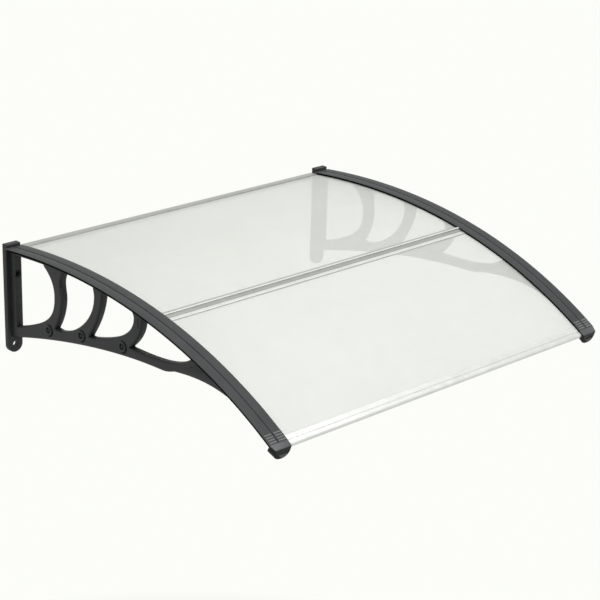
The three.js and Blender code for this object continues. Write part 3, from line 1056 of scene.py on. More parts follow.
@dataclass
class Bracket:
    """Scrolled wall bracket with its plate, arm, struts and the bar under the rail cover."""

    web_thickness: float = 19.0
    edge_radius: float = 5.0
    edge_steps: int = 5
    shelf_top: float = -10.6
    shelf_depth: float = 5.0
    shelf_step: float = 12.0
    fairing_end: float = 838.0
    fairing_length: float = 174.0
    fairing_half: float = 7.2
    spine_back: float = 6.0
    spine_front: float = 31.5
    spine_foot: float = -170.0
    arm_root: float = -203.0
    arm_knee: Pair = (540.0, -116.0)
    arm_end: float = 664.0
    window_tip: float = 641.0
    root_length: float = 9.0
    plate_width: float = 39.0
    plate_thickness: float = 12.0
    plate_bottom: float = -238.5
    plate_head: float = 20.7
    head_depth: float = 15.0
    tab_hole: Pair = (-219.0, 6.5)
    upper_hole: Pair = (21.8, -45.0)
    ring_recess: float = 2.9
    boss_radius: float = 12.5
    head_slots: tuple[tuple[float, float, float], ...] = (
        (197.0, -22.0, 15.0), (343.0, -19.0, 23.0), (464.5, -35.0, 22.0),
    )
    slot_width: float = 2.6
    slot_depth: float = 3.0
    struts: tuple[Strut, ...] = (
        Strut(
            wall_side=(
                ((61, -160), (140, -130), (174, -110), (173, -57)),
                ((173, -57), (173, -33), (160, -14), (136, 0)),
            ),
            front_side=(
                ((174, -133), (190, -112), (201.5, -82), (201.5, -57)),
                ((201.5, -57), (201.5, -38), (190, -22), (207, 0)),
            ),
            boss=(152, -142),
        ),
        Strut(
            wall_side=(
                ((190, -134), (246, -125), (312, -75), (314, -20)),
                ((314, -20), (314, -14), (313, -8), (312, 0)),
            ),
            front_side=(((296, -115), (316, -88), (340, -50), (346, 0)),),
            boss=(269, -120),
        ),
        Strut(
            wall_side=(
                ((308, -114), (390, -94), (448, -66), (447.5, -27)),
                ((447.5, -27), (447, -24), (446, -21), (446, 0)),
            ),
            front_side=(((434, -98), (459, -78), (478, -52), (480, 0)),),
            boss=(411, -102),
        ),
    )

    def side_line(
        self, curves: Sequence[tuple[Pair, Pair, Pair, Pair]], count: int = 12
    ) -> list[Pair]:
        """Points of a strut's side from the arm up to the rail.

        Args:
            curves: curves in order; the last one ends at the rail.
            count: stretches of each curve.

        Returns:
            The points.
        """
        points: list[Pair] = []
        for i, (start, lead, follow, end) in enumerate(curves):
            if i == len(curves) - 1:
                end = RAIL.under(end[0], self.shelf_top - self.root_length)
            points += bezier(start, lead, follow, end, count)[1 if i else 0 :]
        return [*points, RAIL.under(curves[-1][3][0], self.shelf_top - 0.4)]

    def web_outline(self) -> list[Pair]:
        """Outline of the web: spine, arm and struts, drawn as one comb that hangs from the rail.

        Returns:
            The corners in order.
        """
        level = self.shelf_top - 0.4
        under_arm = bezier(
            (self.spine_back, self.arm_root), (170, -156), (370, -118), self.arm_knee, 26
        )
        curl = bezier(self.arm_knee, (565, -116), (600, -98), RAIL.under(self.arm_end, level - 4), 8)
        over_arm = bezier(
            RAIL.under(self.window_tip, level), (605, -86), (560, -99), (440, -98), 14
        )
        outline = [RAIL.under(self.spine_back, level), *under_arm, *curl[1:], *over_arm]
        for strut in reversed(self.struts):
            outline += self.side_line(strut.front_side)
            outline += reversed(self.side_line(strut.wall_side))
        outline += [(self.spine_front, self.spine_foot), RAIL.under(self.spine_front, level)]
        return outline

    def draw_web(self, bm: BMesh) -> None:
        """Draws the web with rounded edges on both faces.

        Args:
            bm: mesh to draw in.
        """
        web = bmesh.new()
        face = side_face(web, self.web_outline())
        face.normal_update()
        half = self.web_thickness / 2
        flat = half - self.edge_radius
        face = extrude_through(web, face, [Matrix.Translation((-flat, 0, 0))])
        last = (0.0, 0.0)
        for i in range(1, self.edge_steps + 1):
            angle = math.pi / 2 * i / self.edge_steps
            inset = self.edge_radius * (1 - math.cos(angle))
            rise = self.edge_radius * math.sin(angle)
            bmesh.ops.inset_region(
                web, faces=[face], thickness=inset - last[0], depth=0.0, use_even_offset=False
            )
            bmesh.ops.translate(web, vec=(last[1] - rise, 0, 0), verts=face.verts)
            last = (inset, rise)
        bmesh.ops.inset_region(web, faces=[face], thickness=0.8, use_even_offset=False)
        middle = [f for f in web.faces if all(abs(v.co.x) < WELD for v in f.verts)]
        bmesh.ops.delete(web, geom=middle, context="FACES_ONLY")
        bmesh.ops.mirror(
            web, geom=web.verts[:] + web.edges[:] + web.faces[:], axis="X", merge_dist=0.01
        )
        bmesh.ops.recalc_face_normals(web, faces=web.faces)
        bmesh.ops.translate(web, vec=(RAIL_MIDDLE, 0, 0), verts=web.verts)
        pour(bm, web)

    def draw_shelf(self, bm: BMesh) -> None:
        """Draws the bar that follows the rail and the kerb on its outer side.

        Args:
            bm: mesh to draw in.
        """
        x0 = RAIL_MIDDLE - self.web_thickness / 2
        x1 = x0 + self.web_thickness
        bottom = self.shelf_top - self.shelf_depth
        shelf = [
            (x0, self.shelf_top, 0.6),
            (x0, bottom, 2.5),
            (x1, bottom, 2.5),
            (x1, self.shelf_top, 0.6),
        ]
        sweep(bm, shelf, RAIL.stations(8.0, RAIL.length - 0.5, self.shelf_step), 3)
        kerb = [
            (x0, self.shelf_top - 1, 0),
            (x1 - 7.8, self.shelf_top - 1, 0),
            (x1 - 7.8, -5.9, 0.5),
            (x0, -5.9, 0.5),
        ]
        sweep(bm, kerb, RAIL.stations(15.6, RAIL.length - 4, self.shelf_step), 2)

    def draw_fairing(self, bm: BMesh) -> None:
        """Draws the filled web that thins out along the rail in front of the arm.

        Args:
            bm: mesh to draw in.
        """
        tip = RAIL.point(self.fairing_end, self.shelf_top - 4)
        lower = bezier((545, -112), (640, -96), (716, -92), tip, 20)
        upper = [
            RAIL.point(self.fairing_end - self.fairing_length * i / 12, self.shelf_top - 1)
            for i in range(13)
        ]
        root = [(624, -82), (590, -95)]
        plate = bmesh.new()
        face = side_face(plate, [*lower, *upper, *root], RAIL_MIDDLE - self.fairing_half)
        extrude_through(plate, face, [Matrix.Translation((2 * self.fairing_half, 0, 0))])
        bmesh.ops.recalc_face_normals(plate, faces=plate.faces)
        edges = [
            e for e in plate.edges
            if abs(e.verts[0].co.x - e.verts[1].co.x) < WELD and e.calc_face_angle(0) > 1.2
        ]
        bevel(plate, edges, 1.6, 2)
        pour(bm, plate)

    def draw_plate(self, bm: BMesh) -> None:
        """Draws the wall plate with its round tab and the block at its head.

        Args:
            bm: mesh to draw in.
        """
        half = self.plate_width / 2
        plate = bmesh.new()
        corners = [
            (Vector((-half, 0, self.plate_head)), 2.0),
            (Vector((-half, 0, self.plate_bottom)), half - 0.05),
            (Vector((half, 0, self.plate_bottom)), half - 0.05),
            (Vector((half, 0, self.plate_head)), 2.0),
        ]
        face = rounded_face(plate, corners, 14)
        face = extrude_through(plate, face, [Matrix.Translation((0, -self.plate_thickness, 0))])
        bevel(plate, list(face.edges), 2.4, 3)
        bmesh.ops.recalc_face_normals(plate, faces=plate.faces)
        bmesh.ops.translate(plate, vec=(RAIL_MIDDLE, 0, 0), verts=plate.verts)
        pour(bm, plate)
        height = self.plate_head - RAIL.top + 5.5
        block = Vector((self.plate_width, self.head_depth, height))
        middle = (RAIL_MIDDLE, -self.head_depth / 2, self.plate_head - height / 2)
        rounded_block(bm, block, Matrix.Translation(middle), 2.4)

    def draw_ring(self, bm: BMesh) -> None:
        """Draws the ring round the upper hole.

        Args:
            bm: mesh to draw in.
        """
        front = self.spine_front - 0.4
        profile = [
            (5.6, 6.0), (5.6, front - 0.5), (6.0, front), (7.0, front), (7.5, front - 0.6), (7.5, 6.0),
            (5.6, 6.0),
        ]
        x, up = self.upper_hole
        place = Matrix.Translation((x, 0, up)) @ Matrix.Rotation(math.pi / 2, 4, "X")
        turned(bm, profile, place)

    def draw_bosses(self, bm: BMesh) -> None:
        """Draws the round scroll ends on both faces of the web.

        Args:
            bm: mesh to draw in.
        """
        radius = self.boss_radius
        profile = [
            (0, -4), (0, 1.5), (2.2, 1.3), (3.4, 0.4), (3.8, -2.0), (6.6, -2.0), (7.2, 1.2), (8.4, 2.0),
            (radius - 1.8, 2.0), (radius - 0.5, 1.3), (radius, 0), (radius, -4), (0, -4),
        ]
        half = self.web_thickness / 2
        for strut in self.struts:
            out, up = strut.boss
            for sign in (-1, 1):
                place = Matrix.Translation((RAIL_MIDDLE + sign * half, -out, up))
                turned(bm, profile, place @ Matrix.Rotation(sign * math.pi / 2, 4, "Y"))

    def cutters(self) -> BMesh:
        """Draws what is cut from the web and plate: holes and the hollows beside the bosses.

        Returns:
            The cutting mesh.
        """
        bm = bmesh.new()
        to_wall = Matrix.Rotation(math.pi / 2, 4, "X")
        low, radius = self.tab_hole
        tab = [(0, -2), (radius, -2), (radius, 11), (radius + 1.2, 12.4), (radius + 1.2, 14), (0, 14)]
        turned(bm, tab, Matrix.Translation((RAIL_MIDDLE, 0, low)) @ to_wall, 36)
        floor = self.spine_front - self.ring_recess
        upper = [(0, -2), (3, -2), (3, 7), (5.5, 7), (5.5, floor), (9, floor), (9, 40), (0, 40)]
        x, up = self.upper_hole
        turned(bm, upper, Matrix.Translation((x, 0, up)) @ to_wall, 36)
        half = self.web_thickness / 2
        for strut in self.struts:
            out, up = strut.boss
            for sign in (-1, 1):
                place = Matrix.Translation((RAIL_MIDDLE + sign * half, -out - 2.3, up - 0.4))
                hollow = [(0, -3.4), (14.0, -3.4), (14.4, 3), (0, 3)]
                turned(bm, hollow, place @ Matrix.Rotation(sign * math.pi / 2, 4, "Y"), 40)
        for out, up, height in self.head_slots:
            for sign in (-1, 1):
                size = Vector((2 * self.slot_depth, self.slot_width, height))
                place = Matrix.Translation((RAIL_MIDDLE + sign * half, -out, up))
                rounded_block(bm, size, place, 0.8, 2)
        return bm

    def build(self, finishes: FinishSet) -> None:
        """Builds both brackets.

        Args:
            finishes: the finishes.
        """
        for side in SIDES:
            body = bmesh.new()
            self.draw_web(body)
            self.draw_plate(body)
            whole = carve(body, self.cutters())
            self.draw_shelf(whole)
            self.draw_fairing(whole)
            self.draw_ring(whole)
            self.draw_bosses(whole)
            name = f"{side.value}_wall_bracket"
            node = f"bracket_{side.value}"
            finish_piece(name, whole, side, finishes.bracket, [node], 38.0)


def carve(body: BMesh, cutter: BMesh) -> BMesh:
    """Cuts one mesh out of another.

    Args:
        body: mesh to cut, in millimetres, which is freed.
        cutter: mesh that is cut out of it, which is freed.

    Returns:
        The cut mesh.
    """
    for bm in (body, cutter):
        bmesh.ops.recalc_face_normals(bm, faces=bm.faces)
    things = [mesh_object("body", body), mesh_object("cutter", cutter)]
    cut = things[0].modifiers.new("cut", "BOOLEAN")
    cut.operation = "DIFFERENCE"
    cut.object = things[1]
    cut.solver = "EXACT"
    cut.use_self = True
    bpy.context.view_layer.update()
    graph = bpy.context.evaluated_depsgraph_get()
    result = bmesh.new()
    result.from_object(things[0], graph)
    for thing in things:
        mesh = thing.data
        bpy.data.objects.remove(thing)
        bpy.data.meshes.remove(mesh)
    bmesh.ops.remove_doubles(result, verts=result.verts, dist=CUT_WELD)
    return result


@dataclass
class RailCover:
    """Cover that clamps the sheet on a rail: a flat strip with a groove and grip ribs."""

    start: float = 15.3
    thickness: float = 5.5
    groove_width: float = 3.0
    groove_depth: float = 1.6
    edge_radius: float = 0.9
    edge_height: float = 1.1
    recess_depth: float = 7.0
    recess_height: float = 4.0
    foot_inset: float = 0.6
    grip_count: int = 4
    grip_pitch: float = 6.2
    grip_length: float = 3.4
    grip_height: float = 1.0
    grip_margin: float = 2.4
    step: float = 7.0

    def section(self) -> list[tuple[float, float, float]]:
        """Section of the cover.

        Returns:
            Corners with their radii.
        """
        recess_floor = -self.edge_height - self.recess_height
        half = [
            (self.foot_inset, -self.thickness, 0.2),
            (self.foot_inset, recess_floor - 0.1, 0.1),
            (self.recess_depth, recess_floor, 0.2),
            (self.recess_depth, -self.edge_height - 0.1, 0.2),
            (0, -self.edge_height, 0.1),
            (0, 0, self.edge_radius),
            (RAIL_MIDDLE - self.groove_width / 2, 0, 0.5),
            (RAIL_MIDDLE - self.groove_width / 2 + 0.3, -self.groove_depth, 0.3),
        ]
        return [*half, *((RAIL_WIDTH - x, n, radius) for x, n, radius in reversed(half))]

    def draw_grips(self, bm: BMesh) -> None:
        """Draws the cross ribs near the front end, on both sides of the groove, in a paler finish that is
        a painted highlight.

        Args:
            bm: mesh to draw in.
        """
        length = RAIL_MIDDLE - self.groove_width / 2 - 4.2
        before = set(bm.faces)
        for i in range(self.grip_count):
            s = RAIL.length - self.grip_margin - self.grip_length / 2 - i * self.grip_pitch
            for x in (3.0 + length / 2, RAIL_WIDTH - 3.0 - length / 2):
                size = Vector((length, self.grip_length, 2 * self.grip_height))
                rounded_block(bm, size, RAIL.place(s) @ Matrix.Translation((x, 0, 0)), 0.8)
        for face in bm.faces:
            if face not in before:
                face.material_index = 2

    def mark_painted_shade_recess(self, bm: BMesh) -> None:
        """Marks the faces of the recess along both sides for the near-black finish, which is painted
        shade.

        Args:
            bm: mesh of the bare strip.
        """
        for face in bm.faces:
            x = face.calc_center_median().x
            if self.edge_radius < min(x, RAIL_WIDTH - x) < self.recess_depth + 0.2:
                face.material_index = 1

    def build(self, finishes: FinishSet) -> None:
        """Builds both covers.

        Args:
            finishes: the finishes.
        """
        for side in SIDES:
            bm = bmesh.new()
            sweep(bm, self.section(), RAIL.stations(self.start, RAIL.length, self.step), 3)
            self.mark_painted_shade_recess(bm)
            self.draw_grips(bm)
            name = f"{side.value}_rail_strip"
            node = f"rail_cover_{side.value}"
            # the side recesses get painted shade, the grip ribs a painted highlight
            further = [finishes.recess, finishes.grip]
            finish_piece(
                name, bm, side, finishes.rail_cover, [node], further=further
            )


@dataclass
class EndCap:
    """Cap on the front end of a rail: a bulging face, straight above and round below."""

    length: float = 17.0
    height: float = 27.0
    side_height: float = 9.0
    face_start: float = 13.6
    taper: float = 4.5
    lean: float = 0.22
    bulge: tuple[Pair, ...] = (
        (0.25, 0.55), (0.9, 0.75), (2.2, 0.85), (4.4, 0.95), (7.4, 0.85), (10.6, 0.5),
    )

    def face_outline(self) -> list[Vector]:
        """Outline of the cap's face, in the rail's end frame.

        Returns:
            The corners in order.
        """
        deep = self.height - self.side_height
        points = [Vector((0, 0, 0)), Vector((0, 0, -self.side_height))]
        for i in range(1, 24):
            angle = math.pi * i / 24
            x = RAIL_MIDDLE - RAIL_MIDDLE * math.cos(angle)
            points.append(Vector((x, 0, -self.side_height - deep * math.sin(angle))))
        points += [Vector((RAIL_WIDTH, 0, -self.side_height)), Vector((RAIL_WIDTH, 0, 0))]
        return points

    def draw(self, bm: BMesh) -> None:
        """Draws the cap.

        Args:
            bm: mesh to draw in.
        """
        cap = bmesh.new()
        face = draw_loop(cap, self.face_outline())
        round_corners(cap, {1.2: [v for v in face.verts if v.co.z > -0.01]}, 3)
        face = next(iter(cap.faces))
        narrow = Matrix.Diagonal((1 - self.taper / RAIL_WIDTH, 1, 1, 1))
        about = Matrix.Translation((RAIL_WIDTH, 0, 0))
        forward = Matrix.Translation((0, -self.face_start, -0.4))
        forward[1][2] = self.lean
        face = extrude_through(cap, face, [forward @ about @ narrow @ about.inverted()])
        middle = Vector(((RAIL_WIDTH + self.taper) / 2, 0, -self.height / 2))
        reach = ((RAIL_WIDTH - self.taper) / 2, self.height / 2)
        inset = 0.0
        for width, depth in self.bulge:
            wide, tall = ((half - width) / (half - inset) for half in reach)
            inset = width
            push = Matrix.Translation((0, -depth, 0)) @ Matrix.Translation(middle)
            shrink = Matrix.Diagonal((wide, 1, tall, 1)) @ Matrix.Translation(-middle)
            face = extrude_through(cap, face, [push @ shrink])
        bmesh.ops.recalc_face_normals(cap, faces=cap.faces)
        # faces that look up keep the cap plastic, the others get its darker copy: painted dark reflection
        for face in cap.faces:
            face.material_index = 0 if face.normal.z > 0.6 else 1
        bmesh.ops.transform(cap, matrix=RAIL.place(RAIL.length + 0.3), verts=cap.verts)
        pour(bm, cap)

    def build(self, finishes: FinishSet) -> None:
        """Builds both caps.

        Args:
            finishes: the finishes.
        """
        for side in SIDES:
            bm = bmesh.new()
            self.draw(bm)
            name = f"{side.value}_rail_cap"
            node = f"end_cap_{side.value}"
            further = [finishes.cap_face]
            finish_piece(name, bm, side, finishes.end_cap, [node], 40.0, further)


@dataclass
class SheetPanels:
    """The two bent polycarbonate sheets."""

    side: float = 26.0
    top: float = -5.8
    thickness: float = 3.0
    step: float = 7.0
    stretches: tuple[tuple[str, float, float], ...] = (
        ("rear_panel", 15.3, 514.0),
        ("front_panel", 517.0, 913.9),
    )

    def build(self, finishes: FinishSet) -> None:
        """Builds both sheets.

        Args:
            finishes: the finishes.
        """
        for node, start, end in self.stretches:
            bm = bmesh.new()
            bottom = self.top - self.thickness
            far = 2 * HALF_WIDTH - self.side
            section = [
                (self.side, bottom, 0.5),
                (self.side, self.top, 0.5),
                (far, self.top, 0.5),
                (far, bottom, 0.5),
            ]
            sweep(bm, section, RAIL.stations(start, end, self.step), 2)
            name = node.replace("panel", "sheet")
            finish_piece(name, bm, Side.BOTH, finishes.panel, [node])


@dataclass
class CrossBars:
    """The three aluminium bars between the rails."""

    inner: float = 48.3
    panel_top: float = -5.8
    lip_top: float = -3.9
    foot_top: float = -9.1
    foot_bottom: float = -10.3
    foot_side: float = 26.0
    rear_depth: float = 22.0
    rear_half_height: float = 9.0
    middle_start: float = 499.0
    middle_width: float = 33.0
    middle_crown: float = -0.6
    bead: Pair = (7.5, 12.5)
    front_line: float = 21.4
    front_start: float = 906.0
    front_flange: float = 11.4
    nose_length: float = 13.0
    nose_height: float = 10.0

    def rail_outline(
        self, corners: Sequence[tuple[float, float, float]]
    ) -> list[tuple[Pair, float]]:
        """Outline drawn along the rail.

        Args:
            corners: distance along the rail, height over it and radius of each corner.

        Returns:
            Corners and radii in the side view.
        """
        return [(RAIL.point(s, n), radius) for s, n, radius in corners]

    def rear(self, bm: BMesh) -> None:
        """Draws the bar along the wall.

        Args:
            bm: mesh to draw in.
        """
        front, half = self.rear_depth, self.rear_half_height
        slot = self.panel_top + 0.3
        outline: list[tuple[Pair, float]] = [
            ((0.0, half), 0.8),
            (RAIL.point(front - 8, -2.6), 3.0),
            (RAIL.point(front, self.lip_top), 0.7),
            (RAIL.point(front, slot), 0.3),
            (RAIL.point(2.7, slot), 0.3),
            (RAIL.point(2.7, self.foot_top), 0.3),
            (RAIL.point(front - 3, self.foot_top), 0.3),
            (RAIL.point(front - 3, self.foot_bottom), 0.3),
            (RAIL.point(2.7, self.foot_bottom), 0.3),
            ((2.4, -half), 0.3),
            ((0.0, -half), 0.3),
        ]
        across(bm, outline, self.inner, 2 * HALF_WIDTH - self.inner)

    def middle(self, bm: BMesh) -> None:
        """Draws the bar that joins the two sheets.

        Args:
            bm: mesh to draw in.
        """
        start, end = self.middle_start, self.middle_start + self.middle_width
        web = (start + end) / 2
        slot = self.panel_top + 0.3
        bead = (start + self.bead[0], start + self.bead[1])
        line = start + self.front_line
        upper = self.rail_outline(
            [
                (start, slot, 0.2), (start, self.lip_top, 0.6), (start + 5, self.lip_top, 0.3),
                (start + 6, self.lip_top - 0.4, 0.2), (bead[0], self.lip_top - 0.4, 0.2),
                (bead[0], self.middle_crown, 1.0), (bead[1], self.middle_crown, 1.0),
                (bead[1] + 0.4, self.lip_top + 0.2, 0.2), (line - 0.4, self.lip_top + 0.2, 0.2),
                (line, self.lip_top - 0.8, 0.2), (line + 1.8, self.lip_top - 0.8, 0.2),
                (line + 2.2, self.lip_top, 0.2), (end - 3, self.lip_top, 1.0),
                (end, self.lip_top - 0.4, 0.3), (end, slot, 0.2),
            ]
        )
        across(bm, upper, self.inner, 2 * HALF_WIDTH - self.inner)
        upright = self.rail_outline(
            [
                (web - 1.2, slot + 0.5, 0), (web + 1.2, slot + 0.5, 0),
                (web + 1.2, self.foot_bottom, 0), (web - 1.2, self.foot_bottom, 0),
            ]
        )
        across(bm, upright, self.inner, 2 * HALF_WIDTH - self.inner)
        self.foot(bm, start + 3, end - 3)

    def foot(self, bm: BMesh, start: float, end: float) -> None:
        """Draws the foot of a bar under the sheet.

        Args:
            bm: mesh to draw in.
            start: its start along the rail.
            end: its end.
        """
        outline = self.rail_outline(
            [
                (start, self.foot_top, 0.3), (end, self.foot_top, 0.3),
                (end, self.foot_bottom, 0.4), (start, self.foot_bottom, 0.4),
            ]
        )
        across(bm, outline, self.foot_side, 2 * HALF_WIDTH - self.foot_side, 2)

    def front(self, bm: BMesh) -> None:
        """Draws the bar along the front edge with its round nose.

        Args:
            bm: mesh to draw in.
        """
        start = self.front_start
        bead = start + self.front_flange
        slot = self.panel_top + 0.3
        low = self.lip_top - self.nose_height
        end = bead + self.nose_length
        upper = self.rail_outline(
            [
                (start, slot, 0.2), (start, self.lip_top, 0.6), (bead - 1, self.lip_top, 0.2),
                (bead - 0.4, self.lip_top - 1.1, 0.2), (bead + 0.8, self.lip_top - 1.1, 0.2),
                (bead + 1.6, self.lip_top, 0.2), (end, self.lip_top, 4.8), (end, low, 4.8),
                (bead, low, 0.4), (bead, self.foot_bottom, 0.2),
                (start + 3, self.foot_bottom, 0.4), (start + 3, self.foot_top, 0.3),
                (bead - 3.2, self.foot_top, 0.2), (bead - 3.2, slot, 0.2),
            ]
        )
        across(bm, upper, self.inner, 2 * HALF_WIDTH - self.inner, 6)
        self.foot(bm, start + 3, bead - 0.3)

    def mark_bead(self, bm: BMesh) -> None:
        """Marks the bead and the front lip of the middle bar for the paler aluminium: a painted highlight
        on the bead, a pale tone on the lip.

        Args:
            bm: mesh of the middle bar.
        """
        bm.normal_update()
        bead = [RAIL.point(self.middle_start + s, 0)[0] for s in self.bead]
        lip = RAIL.point(self.middle_start + self.front_line + 2.4, 0)[0]
        floor = RAIL.point(self.middle_start + self.middle_width, self.lip_top - 2)[1]
        for face in bm.faces:
            middle = face.calc_center_median()
            bright = bead[0] - 0.5 < -middle.y < bead[1] + 0.5 or -middle.y > lip
            if bright and middle.z > floor and abs(face.normal.z) > 0.4:
                face.material_index = 1

    def build(self, finishes: FinishSet) -> None:
        """Builds the three bars.

        Args:
            finishes: the finishes.
        """
        bars: tuple[tuple[str, Callable[[BMesh], None]], ...] = (
            ("rear_bar", self.rear),
            ("middle_bar", self.middle),
            ("front_bar", self.front),
        )
        for node, draw in bars:
            bm = bmesh.new()
            draw(bm)
            name = node.replace("bar", "profile")
            # the front bar and the middle bar's bead get the paler aluminium as a painted highlight
            metal = finishes.front_bar if node == "front_bar" else finishes.bar
            further = [finishes.front_bar] if node == "middle_bar" else []
            if further:
                self.mark_bead(bm)
            finish_piece(name, bm, Side.BOTH, metal, [node], 36.0, further)


@dataclass
class EdgeSeals:
    """Rubber strips under the sheet's side edges."""

    inner: float = 26.0
    width: float = 7.0
    top: float = -9.1
    bottom: float = -10.3
    stretches: tuple[tuple[str, float, float], ...] = (
        ("rear_edge_seal", 22.3, 501.7),
        ("front_edge_seal", 529.3, 908.7),
    )

    def build(self, finishes: FinishSet) -> None:
        """Builds the four seals.

        Args:
            finishes: the finishes.
        """
        for label, start, end in self.stretches:
            for side in SIDES:
                bm = bmesh.new()
                end_x = self.inner + self.width
                section = [
                    (self.inner, self.bottom, 0.3),
                    (self.inner, self.top, 0.3),
                    (end_x - 2, self.top, 0.3),
                    (end_x, self.top - 0.2, 0.2),
                    (end_x, self.bottom, 0.3),
                ]
                sweep(bm, section, RAIL.stations(start, end, 12.0), 2)
                name = f"{side.value}_{label.replace('edge_seal', 'sheet_seal')}"
                node = f"{label}_{side.value}"
                finish_piece(name, bm, side, finishes.seal, [node])


@dataclass
class CoverScrews:
    """Screws that clamp the rail covers from below."""

    places: tuple[float, ...] = (70.0, 250.0, 560.0, 850.0)
    x: float = 21.0
    head_radius: float = 3.4
    head_height: float = 2.6
    neck: float = -12.7
    tip: float = -1.9
    shank_radius: float = 2.0

    def draw(self, bm: BMesh, s: float) -> None:
        """Draws one screw with a domed head, without the six-sided recess that build cuts into it.

        Args:
            bm: mesh to draw in.
            s: its place along the rail.
        """
        place = RAIL.place(s) @ Matrix.Translation((self.x, 0, 0))
        base, crown = self.neck, self.neck - self.head_height
        profile = [
            (0, self.tip), (self.shank_radius * 0.6, self.tip - 0.4), (self.shank_radius, self.tip - 1.2),
            (self.shank_radius, base), (self.head_radius, base), (self.head_radius, base - 0.7),
            (self.head_radius * 0.86, crown + 0.5), (self.head_radius * 0.6, crown), (0, crown),
        ]
        turned(bm, profile, place, 24)

    def build(self, finishes: FinishSet) -> None:
        """Builds every screw.

        Args:
            finishes: the finishes.
        """
        for i, s in enumerate(self.places, 1):
            for side in SIDES:
                bm = bmesh.new()
                self.draw(bm, s)
                socket = bmesh.new()
                base = self.neck - self.head_height
                place = RAIL.place(s) @ Matrix.Translation((self.x, 0, base + 0.2))
                bmesh.ops.create_cone(
                    socket, cap_ends=True, segments=6, radius1=1.45, radius2=1.45, depth=2.0,
                    matrix=place,
                )
                whole = carve(bm, socket)
                name = f"{side.value}_clamp_screw_{i}"
                node = f"cover_screw_{i}_{side.value}"
                finish_piece(name, whole, side, finishes.screw, [node])


# Studio


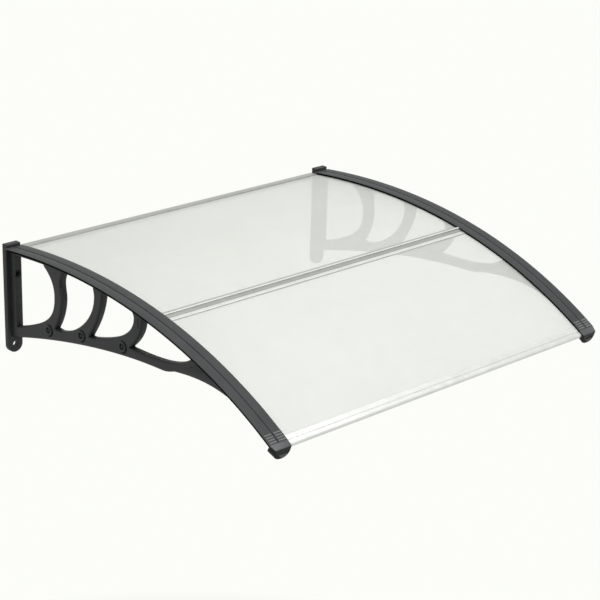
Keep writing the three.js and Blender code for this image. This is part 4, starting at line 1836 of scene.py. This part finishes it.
@dataclass
class Studio:
    """Camera, lamps, world and floor."""

    azimuth: float = -43.99
    elevation: float = 20.26
    distance: float = 4.23133
    roll: float = 1.41
    lens: float = 111.7
    target: tuple[float, float, float] = (0.0, -0.400, -0.138)
    offset: Pair = (0.02814, 0.0210)
    floor_level: float = -2.2
    backdrop: tuple[float, float, float, float] = (0.973, 0.982, 0.945, 1.0)
    floor_half: float = 30.0
    fade: Pair = (1.3, 2.1)
    ambient: float = 0.5
    lamps: tuple[tuple[str, float, float, float, float, float], ...] = (
        ("top_lamp", 20.0, 74.0, 3.2, 2.6, 63.0),
        ("front_lamp", -28.0, 24.0, 3.6, 2.0, 13.86),
    )

    def back(self, azimuth: float, elevation: float) -> Vector:
        """Direction from the target towards a point of view.

        Args:
            azimuth: angle in degrees, 0 in front of the canopy.
            elevation: angle over level, in degrees.

        Returns:
            The unit vector.
        """
        a, e = math.radians(azimuth), math.radians(elevation)
        return Vector((math.sin(a) * math.cos(e), -math.cos(a) * math.cos(e), math.sin(e)))

    def camera(self) -> None:
        """Sets the camera where the photographer stood."""
        back = self.back(self.azimuth, self.elevation)
        turn = (-back).to_track_quat("-Z", "Y")
        right = turn @ Vector((1, 0, 0))
        up = turn @ Vector((0, 1, 0))
        data = bpy.data.cameras.new("camera")
        data.lens = self.lens
        data.sensor_width = 36.0
        data.clip_end = 60.0
        camera = stand("camera", data)
        camera.rotation_mode = "QUATERNION"
        camera.rotation_quaternion = turn @ Quaternion((0, 0, 1), math.radians(self.roll))
        moved = right * self.offset[0] + up * self.offset[1]
        camera.location = Vector(self.target) + moved + back * self.distance
        bpy.context.scene.camera = camera

    def lamp(
        self, name: str, azimuth: float, elevation: float, distance: float, size: float, power: float
    ) -> None:
        """Adds a soft area lamp that looks at the canopy.

        Args:
            name: its name.
            azimuth: where it stands, in degrees.
            elevation: its height over level, in degrees.
            distance: distance from the canopy in metres.
            size: side of its square in metres.
            power: power in watts.
        """
        back = self.back(azimuth, elevation)
        data = bpy.data.lights.new(name, "AREA")
        data.shape = "SQUARE"
        data.size = size
        data.energy = power
        lamp = stand(name, data)
        lamp.location = Vector(self.target) + back * distance
        lamp.rotation_mode = "QUATERNION"
        lamp.rotation_quaternion = (-back).to_track_quat("-Z", "Y")

    def seen_ray(self, sheet: NodeSheet) -> bpy.types.NodeSocket:
        """Mask of the rays that see the background.

        Args:
            sheet: nodes to add to.

        Returns:
            1 for camera, glossy and transmission rays.
        """
        path = sheet.add("ShaderNodeLightPath")
        seen = sheet.math("MAXIMUM", path.outputs["Is Camera Ray"], path.outputs["Is Glossy Ray"])
        return sheet.math("MAXIMUM", seen, path.outputs["Is Transmission Ray"])

    def world(self) -> None:
        """Makes the world pale to the camera and soft to the surfaces."""
        world = bpy.data.worlds.new("studio")
        bpy.context.scene.world = world
        world.use_nodes = True
        sheet = NodeSheet(world.node_tree)
        ground = world.node_tree.nodes["Background"]
        ground.inputs["Color"].default_value = self.backdrop
        strength = sheet.spread(self.seen_ray(sheet), 0.0, 1.0, self.ambient, 1.0)
        sheet.join(strength, ground.inputs["Strength"])

    def floor(self) -> None:
        """Lays the floor: matte with a shadow under the canopy, plain and pale farther away."""
        bm = bmesh.new()
        bmesh.ops.create_grid(bm, x_segments=1, y_segments=1, size=1.0)
        bmesh.ops.scale(bm, vec=(self.floor_half, self.floor_half, 1), verts=bm.verts)
        bmesh.ops.translate(bm, vec=(0, 0, self.floor_level), verts=bm.verts)
        floor = mesh_object("floor", bm)
        material = bpy.data.materials.new("pale_floor")
        material.use_nodes = True
        sheet = NodeSheet(material.node_tree)
        shader = material.node_tree.nodes["Principled BSDF"]
        shader.inputs["Base Color"].default_value = (0.8, 0.8, 0.79, 1)
        shader.inputs["Roughness"].default_value = 0.9
        glow = sheet.add("ShaderNodeEmission")
        glow.inputs["Color"].default_value = self.backdrop
        place = sheet.add("ShaderNodeTexCoord").outputs["Object"]
        length = sheet.add("ShaderNodeVectorMath", operation="LENGTH")
        flat = sheet.add("ShaderNodeVectorMath", operation="MULTIPLY")
        sheet.join(place, flat.inputs[0])
        flat.inputs[1].default_value = (1, 1, 0)
        sheet.join(flat.outputs[0], length.inputs[0])
        away = sheet.spread(length.outputs["Value"], *self.fade, 0.0, 1.0)
        mix = sheet.add("ShaderNodeMixShader")
        sheet.join(sheet.math("MULTIPLY", away, self.seen_ray(sheet)), mix.inputs[0])
        sheet.join(shader.outputs[0], mix.inputs[1])
        sheet.join(glow.outputs[0], mix.inputs[2])
        end = material.node_tree.nodes["Material Output"]
        sheet.join(mix.outputs[0], end.inputs["Surface"])
        floor.data.materials.append(material)

    def build(self) -> None:
        """Sets up the whole studio."""
        bpy.context.scene.view_settings.view_transform = "Standard"
        self.camera()
        self.world()
        self.floor()
        for values in self.lamps:
            self.lamp(*values)


def main() -> None:
    """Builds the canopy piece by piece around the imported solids."""
    logging.basicConfig(level=logging.INFO, format="%(name)s %(message)s")
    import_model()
    Studio().build()
    finishes = FinishSet.make()
    kinds = (Bracket, RailCover, EndCap, SheetPanels, CrossBars, EdgeSeals, CoverScrews)
    for kind in kinds:
        kind().build(finishes)


if __name__ == "__main__":
    main()
